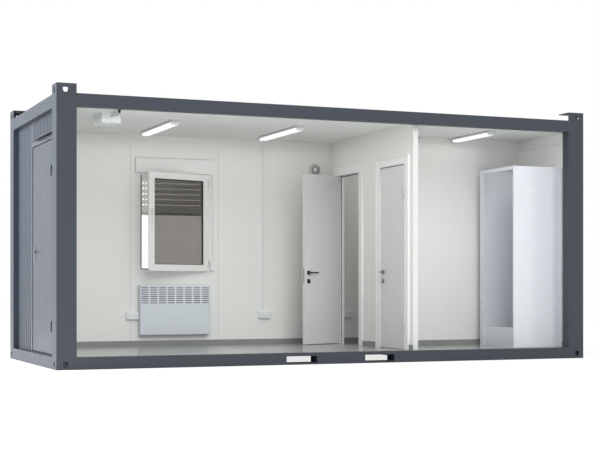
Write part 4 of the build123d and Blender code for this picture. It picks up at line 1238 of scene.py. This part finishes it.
def make_light_slots(sizes):
    """Rows of short slots in the joints between the slats, on the room side."""
    first_row = 0.120
    row_count = 5
    margin = 0.02
    low, high = low_high("shutter_curtain")
    count = int((high[0] - low[0] - margin) // sizes.light_slot_pitch)
    columns = (low[0] + high[0]) / 2 + centred_row(count, sizes.light_slot_pitch)
    rows = low[2] + first_row + np.arange(row_count) * SLAT_PITCH
    slot = slab(sizes.light_slot, 0.011, depth=0.0012, corner=0.005, edge=0.0003, steps=3)
    slots = to_front(slot, (0, 0, 0)).at(wall_places(columns, rows, low[1]))
    make_piece("shutter_light_slots", [slots], "daylight_slot", "cabin")


def make_foot_bar():
    """Bar along the foot of the curtain, a little proud of the slats."""
    height = 0.03
    room_side = 0.004
    outer_side = 0.002
    drop = 0.001
    low, high = low_high("shutter_curtain")
    start = (low[0], low[1] - room_side, low[2] - drop)
    bar = box_between(start, (high[0], high[1] + outer_side, low[2] + height), edge=0.002)
    make_piece("shutter_foot_bar", [bar], "window_white", "cabin")


def make_box_joint_and_shadow():
    """Joint lines where the shutter box meets the wall, over it and down its left end, whose dark is partly
    painted shadow along the box's edges.
    """
    proud = 0.022
    line = 0.004
    lap = 0.001
    past_end = 0.003
    low, high = low_high("shutter_box")
    room = low[1]
    wall = room + proud
    over = box_between((low[0] - past_end, room, high[2] - lap), (high[0], wall, high[2] + line), edge=0.001)
    left = box_between((low[0] - line, room, low[2] + lap), (low[0], wall, high[2]), edge=0.001)
    make_piece("shutter_box_joint_and_shadow", [over, left], "wall_joint", "cabin")


def make_winder():
    """Rounded case of the strap winder, with the lip that the strap runs over, and the strap."""
    case_height = 0.120
    case_depth = 0.022
    lip_rise = 0.050
    strap_offset = 0.039
    strap_half = 0.007
    strap_out = 0.011
    skin = 0.001
    low, high = low_high("shutter_strap")
    middle = np.array([(low[0] + high[0]) / 2, high[1], low[2] + case_height / 2])
    case = slab(0.058, case_height, case_depth, corner=0.012, edge=0.006, steps=5)
    lip = slab(0.022, 0.008, depth=0.003, corner=0.002, edge=0.001)
    parts = [to_front(case, middle), to_front(lip, middle + UP * lip_rise + SOUTH * case_depth)]
    make_piece("winder_case", parts, "window_white", "cabin")
    x = low[0] + strap_offset
    y = high[1] - strap_out
    start = (x - strap_half, y - skin, low[2] + case_height - skin)
    band = box_between(start, (x + strap_half, y + skin, high[2]), edge=0.0004)
    make_piece("strap_band", [band], "strap_grey", "cabin", replaced=["shutter_strap"])


class CABIN_OT_lamps(Operator):
    """Lamp covers with rounded edges, trays whose grey is painted shade on the lamps' flanks, and end caps,
    in place of the plain diffusers
    """

    bl_idname = "cabin.lamps"
    bl_label = "Lamp covers"

    def execute(self, context):
        deeper = 0.014
        cover_inset = 0.025
        cap_inset = 0.030
        low, high = low_high("lamp_diffusers")
        base = high[2]
        ceiling = low_high("ceiling_lamps")[1][2]
        depth = base - low[2] + deeper
        cap = slab(0.087, 0.012, depth + 0.001, corner=0.004, edge=0.008, steps=5)
        covers = []
        caps = []
        trays = []
        for x, y, length in CEILING_LAMPS:
            cover = slab(0.083, length - 2 * cover_inset, depth, corner=0.008, edge=0.009, steps=6)
            covers.append(hanging(cover, (x, y, base)))
            caps += [hanging(cap, (x, y + side * (length / 2 - cap_inset), base)) for side in SIDES]
            # Grey tray round the lamp's upper edge: its grey is painted shade on the lamp's flanks
            tray = slab(0.099, length + 0.003, depth=0.025, corner=0.007, edge=0.004, steps=5)
            trays.append(hanging(tray, (x, y, ceiling)))
        make_piece(
            "lamp_covers", covers, "diffuser_white", "cabin", replaced=["lamp_diffusers"]
        )
        make_piece("lamp_end_caps", caps, "electric_white", "cabin")
        make_piece("lamp_trays", trays, "pale_satin", "cabin")
        return {"FINISHED"}


class CABIN_OT_sockets(Operator):
    """Rounded double sockets with rims and painted shade for pin holes, in place of the plain boxes"""

    bl_idname = "cabin.sockets"
    bl_label = "Sockets"

    def execute(self, context):
        half_pitch = 0.038
        half_pins = 0.0095
        low, high = low_high("wall_sockets")
        shell = slab(0.152, 0.092, depth=0.034, corner=0.012, edge=0.007, steps=6)
        rim = spun([0.0235, 0.0235, 0.0225, 0.0200, 0.0190], [0.031, 0.0352, 0.0360, 0.0352, 0.0343])
        # Dark discs on the socket's face: painted shade for the depth of the pin holes
        pin = spun([0.0026, 0.0026], [0.0340, 0.0347], steps=12)
        shells = []
        pins = []
        for x in SOCKET_MIDDLES:
            base = np.array([x, high[1], (low[2] + high[2]) / 2])
            shells.append(to_front(shell, base))
            for side in SIDES:
                centre = base + EAST * side * half_pitch
                shells.append(to_front(rim, centre))
                pins += [to_front(pin, centre + EAST * pin_side * half_pins) for pin_side in SIDES]
        make_piece(
            "socket_shells", shells, "electric_white", "cabin", replaced=["wall_sockets"]
        )
        make_piece("socket_pin_holes", pins, "rubber", "cabin")
        return {"FINISHED"}


class CABIN_OT_heater(Operator):
    """Heater casing with hooded outlet slots and painted shade in them, in place of the plain one"""

    bl_idname = "cabin.heater"
    bl_label = "Panel heater"

    def execute(self, context):
        wall_gap = 0.014
        slot_count = 8
        slot_pitch = 0.106
        row_pitch = 0.0252
        rows_from_top = 0.118
        hood_rise = 0.0058
        hood_sunk = 0.0028
        painted_shade_sunk = 0.0003
        low, high = low_high("panel_heater")
        size = high - low
        middle = (low + high) / 2
        seat = np.array([middle[0], high[1] - wall_gap, middle[2]])
        casing = slab(size[0], size[2], size[1] - wall_gap, corner=0.006, edge=0.012, steps=6)
        bracket = slab(0.040, size[2] - 0.080, wall_gap, corner=0.002, edge=0.001, steps=3)
        brackets = bracket.placed(seat, EAST, UP, NORTH).at([(side * size[0] / 4, 0, 0) for side in SIDES])
        columns = middle[0] + centred_row(slot_count, slot_pitch)
        rows = high[2] - rows_from_top + centred_row(slot_count, row_pitch)
        slots = wall_places(columns, rows, low[1])
        hood = slab(0.086, 0.0032, depth=0.0030, corner=0.0012, edge=0.0012, steps=3)
        hoods = to_front(hood, (0, 0, hood_rise)).at(slots + NORTH * hood_sunk)
        body = [to_front(casing, seat), brackets, hoods]
        make_piece("heater_casing", body, "heater_white", "cabin", replaced=["panel_heater"])
        # Dark strips sunk in the slots: painted shade for the depth of the outlet slots
        shade = slab(0.084, 0.0085, depth=0.0006, corner=0.002, edge=0.0002, steps=3)
        painted_slot_shade = to_front(shade, (0, 0, 0)).at(slots + NORTH * painted_shade_sunk)
        make_piece("heater_slot_painted_shade", [painted_slot_shade], "rubber", "cabin")
        return {"FINISHED"}


class CABIN_OT_fan(Operator):
    """Extract fan with a ring of blades round its hub, in place of the plain one"""

    bl_idname = "cabin.fan"
    bl_label = "Extract fan"

    def execute(self, context):
        blade_count = 16
        blade_from_hub = 0.037
        blade_out = 0.010
        low, high = low_high("extract_fan")
        centre = np.array([(low[0] + high[0]) / 2, high[1], (low[2] + high[2]) / 2])
        radius = (high[0] - low[0]) / 2
        deep = high[1] - low[1]
        cover = spun(
            [radius, radius, radius - 0.004, radius * 0.7, radius * 0.68, radius * 0.64, radius * 0.64],
            [0, 0.006, 0.010, deep - 0.003, deep, deep - 0.003, 0.008],
            steps=48,
        )
        hub = spun([0.026, 0.026, 0.024, 0.012], [0.006, deep - 0.008, deep - 0.004, deep - 0.002])
        blade = slab(0.030, 0.0022, depth=0.012, corner=0.0008, edge=0.0008, steps=3)
        parts = [to_front(cover, centre)]
        for turn in np.arange(blade_count) * (2 * math.pi / blade_count):
            radial = np.array([math.cos(turn), 0.0, math.sin(turn)])
            tangent = np.array([-math.sin(turn), 0.0, math.cos(turn)])
            place = centre + radial * blade_from_hub + SOUTH * blade_out
            parts.append(blade.placed(place, radial, tangent, SOUTH))
        make_piece("fan_cover", parts, "pale_satin", "cabin", replaced=["extract_fan"])
        make_piece("fan_hub", [to_front(hub, centre)], "electric_white", "cabin")
        return {"FINISHED"}


class CABIN_OT_steelwork(Operator):
    """Weld beads, wall channels, plates behind the lower fittings' holes, and the roof's seam caps"""

    bl_idname = "cabin.steelwork"
    bl_label = "Steelwork"

    def execute(self, context):
        make_frame_welds(context.scene.cabin_sizes.weld)
        make_wall_channels()
        make_fitting_backs()
        make_seam_caps()
        return {"FINISHED"}


def make_frame_welds(radius):
    """Weld beads in the corners between posts and beams, at the front and at the ends."""
    front_run = 0.075
    end_run = 0.045
    low, high = low_high("floor_beam_front")
    levels = (high[2], low_high("roof_beams")[0][2])
    front = low[1] + radius
    beads = []
    for side, z in product(SIDES, levels):
        x = side * high[0]
        beads.append(weld_bead((x, front, z), (x, front + front_run, z), radius))
    end = low_high("corner_posts")[1][0] - radius
    bay = low_high("floor_beams_end")[1][1]
    for side_x, side_y, z in product(SIDES, SIDES, levels):
        y = side_y * bay
        beads.append(weld_bead((side_x * end, y, z), (side_x * (end - end_run), y, z), radius))
    make_piece("frame_welds", beads, "frame_paint", "cabin")


def make_wall_channels():
    """Bent sheet behind each front post, from the post's back to the end wall's lining."""
    sheet = 0.002
    behind_front = 0.085
    past_wall = 0.025
    width = 0.1
    lip = 0.03
    low, high = low_high("floor_beam_front")
    rooms = room_faces()
    leg = low[1] + behind_front
    back = -rooms.rear + past_wall
    channels = []
    for side in SIDES:
        inner = side * high[0]
        for start, end in (
            ((inner, leg), (inner + side * width, leg + sheet)),
            ((inner, leg), (inner + side * sheet, back)),
            ((inner, back - sheet), (inner + side * lip, back)),
        ):
            channels.append(box_between((*start, rooms.deck), (*end, rooms.ceiling), edge=0.0008))
    make_piece("wall_channels", channels, "frame_paint", "cabin")


def make_fitting_backs():
    """Plates a little way behind the lower fittings' holes, which close the view through them."""
    behind = 0.030
    sheet = 0.002
    reach = 0.195
    foot = 0.011
    below_head = 0.026
    outer = low_high("corner_fittings_bottom")[1]
    near = outer - behind
    far = near - sheet
    tip = outer - reach
    head = outer[2] - below_head
    backs = []
    for x, y in product(SIDES, SIDES):
        start = (x * far[0], y * near[1], foot)
        backs.append(box_between(start, (x * tip[0], y * far[1], head), edge=0.0008))
        start = (x * near[0], y * near[1], foot)
        backs.append(box_between(start, (x * far[0], y * tip[1], head), edge=0.0008))
    make_piece("fitting_backs", backs, "frame_paint", "cabin")


def make_seam_caps():
    """Round caps on the standing seams of the roof sheet."""
    top = low_high("roof_sheet")[1][2]
    reach = low_high("floor_deck")[1][1]
    seams = centred_row(SEAM_COUNT, SEAM_PITCH)
    caps = [rod((x, -reach, top), (x, reach, top), radius=0.007) for x in seams]
    make_piece("roof_seam_caps", caps, "roof_zinc", "cabin")


class CABIN_OT_skin_screws(Operator):
    """Screws in the crests of the outer skin"""

    bl_idname = "cabin.skin_screws"
    bl_label = "Skin screws"

    def execute(self, context):
        sizes = context.scene.cabin_sizes
        from_edge = 0.05
        head = dome_head(sizes.screw, sizes.screw / 2)
        rear = low_high("rear_wall_left")[1][1]
        screws = []
        for node in ("rear_wall_left", "rear_wall_right", "rear_wall_window_panel"):
            low, high = low_high(node)
            rows = (low[2] + from_edge, high[2] - from_edge)
            places = wall_places(crest_places(low[0], high[0], sizes.screw_pitch), rows, rear)
            screws.append(head.placed((0, 0, 0), WEST, UP, NORTH).at(places))
        low, high = low_high("right_end_wall")
        rows = (low[2] + from_edge, (low[2] + high[2]) / 2, high[2] - from_edge)
        places = wall_places(crest_places(low[1], high[1], sizes.screw_pitch), rows, high[0])
        screws.append(head.placed((0, 0, 0), NORTH, UP, EAST).at(places[:, [1, 0, 2]]))
        make_piece("skin_screws", screws, "plate_steel", "cabin")
        return {"FINISHED"}


def crest_places(start, end, pitch):
    """Middles of the ribs' crests, about a pitch apart, between a panel's ends."""
    plain_ends = 0.04
    screw_margin = 0.2
    step = RIB_PITCH * round(pitch / RIB_PITCH)
    count = int((end - start - screw_margin) // (2 * step))
    grooves = int((end - start - plain_ends) // RIB_PITCH)
    middle = (start + end) / 2 + (grooves % 2) * RIB_PITCH / 2
    return middle + np.arange(-count, count + 1) * step


class CABIN_OT_wet_room(Operator):
    """Profiles of the shower cabin, its waste and the strip that joins it to the wall"""

    bl_idname = "cabin.wet_room"
    bl_label = "Shower profiles"

    def execute(self, context):
        strip_thickness = 0.016
        strip_reach = 0.088
        strip_drop = 0.012
        strip_lap = 0.002
        post_inset = 0.006
        post_rise = 0.001
        bowl_depth = 0.094
        low, high = low_high("shower_walls")
        start = (high[0] - strip_thickness, low[1] - strip_reach, low[2])
        profiles = [box_between(start, (high[0], low[1] + strip_lap, high[2] - strip_drop), edge=0.003)]
        x = low[0] + post_inset
        for y in (low[1] + post_inset, high[1] - post_inset):
            profiles.append(rod((x, y, low[2]), (x, y, high[2] + post_rise), radius=0.0085))
        make_piece("shower_profiles", profiles, "shower_white", "cabin")
        low, high = low_high("shower_tray")
        bowl = np.array([(low[0] + high[0]) / 2, (low[1] + high[1]) / 2, high[2] - bowl_depth])
        waste = spun([0.045, 0.045, 0.040, 0.036, 0.030], [0, 0.002, 0.004, 0.004, 0.002], steps=40)
        waste = waste.placed(bowl, EAST, NORTH, UP)
        make_piece("shower_waste", [waste], "plate_steel", "cabin")
        return {"FINISHED"}


class CABIN_OT_supply_box(Operator):
    """Lid and screws of the supply box under the ceiling, and its conduit to a gland before it"""

    bl_idname = "cabin.supply_box"
    bl_label = "Supply box"

    def execute(self, context):
        low, high = low_high("distribution_box")
        make_box_lid(low, high)
        make_box_conduit(low, high)
        return {"FINISHED"}


def make_box_lid(low, high):
    """Lid on the box's underside, with a screw in each corner."""
    lid_inset = 0.006
    lid_depth = 0.006
    screw_inset = 0.018
    middle = (low + high) / 2
    foot = np.array([middle[0], middle[1], low[2]])
    width, length = (high - low)[:2]
    lid = slab(width - 2 * lid_inset, length - 2 * lid_inset, lid_depth, corner=0.006, edge=0.003)
    screw = hanging(dome_head(radius=0.006, height=0.002), foot)
    x = width / 2 - screw_inset
    y = length / 2 - screw_inset
    corners = [(-x, -y, -lid_depth), (x, -y, -lid_depth), (x, y, -lid_depth), (-x, y, -lid_depth)]
    parts = [hanging(lid, foot), screw.at(corners)]
    make_piece("supply_box_lid", parts, "electric_white", "cabin")


def make_box_conduit(low, high):
    """Flexible conduit from the box's front face to a gland in the ceiling."""
    gland_beside = 0.088
    gland_before = 0.270
    gland_drop = 0.028
    below_ceiling = 0.034
    inside_box = 0.004
    radius = 0.011
    gland = spun(
        [0.016, 0.016, 0.013, 0.012, 0.011, 0.009], [0, 0.009, 0.011, 0.022, 0.030, 0.034], steps=24
    )
    seat = np.array([high[0] - gland_beside, low[1] - gland_before, high[2]])
    make_piece("supply_box_gland", [hanging(gland, seat)], "rubber", "cabin")
    start = np.array([(low[0] + high[0]) / 2, low[1] + inside_box, high[2] - below_ceiling])
    end = seat + DOWN * gland_drop
    across = np.cross(end - start, UP)
    across = across / np.linalg.norm(across)
    path = bent_path(start, end, reach=0.12)
    conduit = swept_bar(path, across, radius, radius, power=2.0, steps=16, taper=0.002)
    make_piece("supply_box_conduit", [conduit], "pale_satin", "cabin")


class CABIN_OT_stage(Operator):
    """Studio floor, light and camera"""

    bl_idname = "cabin.stage"
    bl_label = "Studio"

    def execute(self, context):
        studio = context.scene.cabin_studio
        make_floor(studio)
        make_world(context.scene, studio)
        make_area("side_lamp", (-9.5, 1.0, 4.0), (-3.0, 0.5, 1.2), size=(6.0, 6.0), power=studio.side)
        make_area("front_lamp", (-1.0, -12.6, 9.0), (0.0, 0.0, 1.0), size=(7.0, 7.0), power=studio.front)
        for name, x, y, size, share in ROOM_LAMPS:
            power = studio.rooms * share * size[0] * size[1]
            make_area(name + "_lamp", (x, y, ROOM_LAMP_HEIGHT), (x, y, 0.0), size, power)
        make_camera(context.scene)
        context.scene.view_settings.view_transform = "Standard"
        return {"FINISHED"}


def make_floor(studio):
    """Level square of one face under the cabin, plain white in part as the camera sees it."""
    grey = 0.82
    glow_strength = 1.12
    half = studio.floor_size / 2
    corners = [(-half, -half, 0), (half, -half, 0), (half, half, 0), (-half, half, 0)]
    mesh = bpy.data.meshes.new("studio_floor")
    mesh.from_pydata(corners, [], [(0, 1, 2, 3)])
    finish = Finish("studio_floor", (grey, grey, grey), roughness=0.9)
    finish.value(Specular_IOR_Level=0.0)
    tree = finish.tree
    glow = finish.node("ShaderNodeEmission", {"Color": (1, 1, 1, 1), "Strength": glow_strength})
    path = finish.node("ShaderNodeLightPath")
    share = finish.math("MULTIPLY", path.outputs["Is Camera Ray"], studio.floor_lift)
    blend = finish.node("ShaderNodeMixShader", {"Fac": share})
    tree.links.new(finish.shader.outputs[0], blend.inputs[1])
    tree.links.new(glow.outputs[0], blend.inputs[2])
    tree.links.new(blend.outputs[0], tree.nodes["Material Output"].inputs["Surface"])
    mesh.materials.append(finish.material)
    floor = bpy.data.objects.new("studio_floor", mesh)
    bpy.context.scene.collection.objects.link(floor)


def make_world(scene, studio):
    """Even light, with a plain white where the camera, gloss or glass looks past the floor."""
    world = bpy.data.worlds.new("studio_sky")
    world.use_nodes = True
    tree = world.node_tree
    tree.nodes.clear()
    light = tree.nodes.new("ShaderNodeBackground")
    light.inputs["Strength"].default_value = studio.sky
    plain = tree.nodes.new("ShaderNodeBackground")
    plain.inputs["Color"].default_value = (1, 1, 1, 1)
    plain.inputs["Strength"].default_value = 1.0
    path = tree.nodes.new("ShaderNodeLightPath")
    seen = path.outputs["Is Camera Ray"]
    for name in ("Is Glossy Ray", "Is Transmission Ray"):
        either = tree.nodes.new("ShaderNodeMath")
        either.operation = "MAXIMUM"
        tree.links.new(seen, either.inputs[0])
        tree.links.new(path.outputs[name], either.inputs[1])
        seen = either.outputs[0]
    blend = tree.nodes.new("ShaderNodeMixShader")
    output = tree.nodes.new("ShaderNodeOutputWorld")
    tree.links.new(seen, blend.inputs["Fac"])
    tree.links.new(light.outputs[0], blend.inputs[1])
    tree.links.new(plain.outputs[0], blend.inputs[2])
    tree.links.new(blend.outputs[0], output.inputs["Surface"])
    scene.world = world


def aim(thing, place, target):
    """Put a lamp at a place and turn its -Z to a target."""
    direction = np.asarray(target, float) - np.asarray(place, float)
    flat = math.hypot(direction[0], direction[1])
    thing.location = place
    thing.rotation_euler = (math.atan2(flat, -direction[2]), 0, math.atan2(-direction[0], direction[1]))


def make_area(name, place, target, size, power):
    """Soft lamp of a width and a height that only its light shows."""
    data = bpy.data.lights.new(name, "AREA")
    data.shape = "RECTANGLE"
    data.size, data.size_y = size
    data.energy = power
    lamp = bpy.data.objects.new(name, data)
    lamp.visible_camera = False
    lamp.visible_glossy = False
    bpy.context.scene.collection.objects.link(lamp)
    aim(lamp, place, target)


def make_camera(scene):
    """Level camera whose shift keeps the uprights upright, as in the photograph."""
    data = bpy.data.cameras.new("photo_camera")
    data.sensor_width = SENSOR_WIDTH
    data.lens = SENSOR_WIDTH * FOCAL_PIXELS / PHOTO_WIDTH
    data.shift_y = (PRINCIPAL_ROW - PHOTO_HEIGHT / 2) / PHOTO_WIDTH
    data.clip_end = 200
    camera = bpy.data.objects.new("photo_camera", data)
    camera.location = CAMERA_PLACE
    camera.rotation_euler = (math.pi / 2, 0, -CAMERA_TURN)
    scene.collection.objects.link(camera)
    scene.camera = camera


OPERATORS = (
    CABIN_OT_cad_finishes,
    CABIN_OT_levers,
    CABIN_OT_roses,
    CABIN_OT_lock_plates,
    CABIN_OT_hinges,
    CABIN_OT_door_seals,
    CABIN_OT_wall_trim,
    CABIN_OT_window_trim,
    CABIN_OT_shutter,
    CABIN_OT_lamps,
    CABIN_OT_sockets,
    CABIN_OT_heater,
    CABIN_OT_fan,
    CABIN_OT_steelwork,
    CABIN_OT_skin_screws,
    CABIN_OT_wet_room,
    CABIN_OT_supply_box,
    CABIN_OT_stage,
)


class CABIN_PT_sidebar(Panel):
    """Settings and steps of the cabin's finishes."""

    bl_idname = "CABIN_PT_sidebar"
    bl_label = "Site cabin"
    bl_space_type = "VIEW_3D"
    bl_region_type = "UI"
    bl_category = "Site cabin"

    def draw(self, context):
        """Settings first, then a button for each step."""
        for group in GROUPS:
            settings = getattr(context.scene, group)
            for name in settings.__annotations__:
                self.layout.prop(settings, name)
        for operator in OPERATORS:
            self.layout.operator(operator.bl_idname)


GROUPS = {"cabin_colours": CabinColours, "cabin_sizes": CabinSizes, "cabin_studio": CabinStudio}
CLASSES = (*GROUPS.values(), *OPERATORS, CABIN_PT_sidebar)


def register():
    """Make the classes and settings known to Blender."""
    for item in CLASSES:
        bpy.utils.register_class(item)
    for name, group in GROUPS.items():
        setattr(bpy.types.Scene, name, PointerProperty(type=group))


def unregister():
    """Take the settings and classes away again."""
    for name in GROUPS:
        delattr(bpy.types.Scene, name)
    for item in reversed(CLASSES):
        bpy.utils.unregister_class(item)


def main():
    register()
    for operator in OPERATORS:
        group, name = operator.bl_idname.split(".")
        getattr(getattr(bpy.ops, group), name)()


if __name__ == "__main__":
    main()
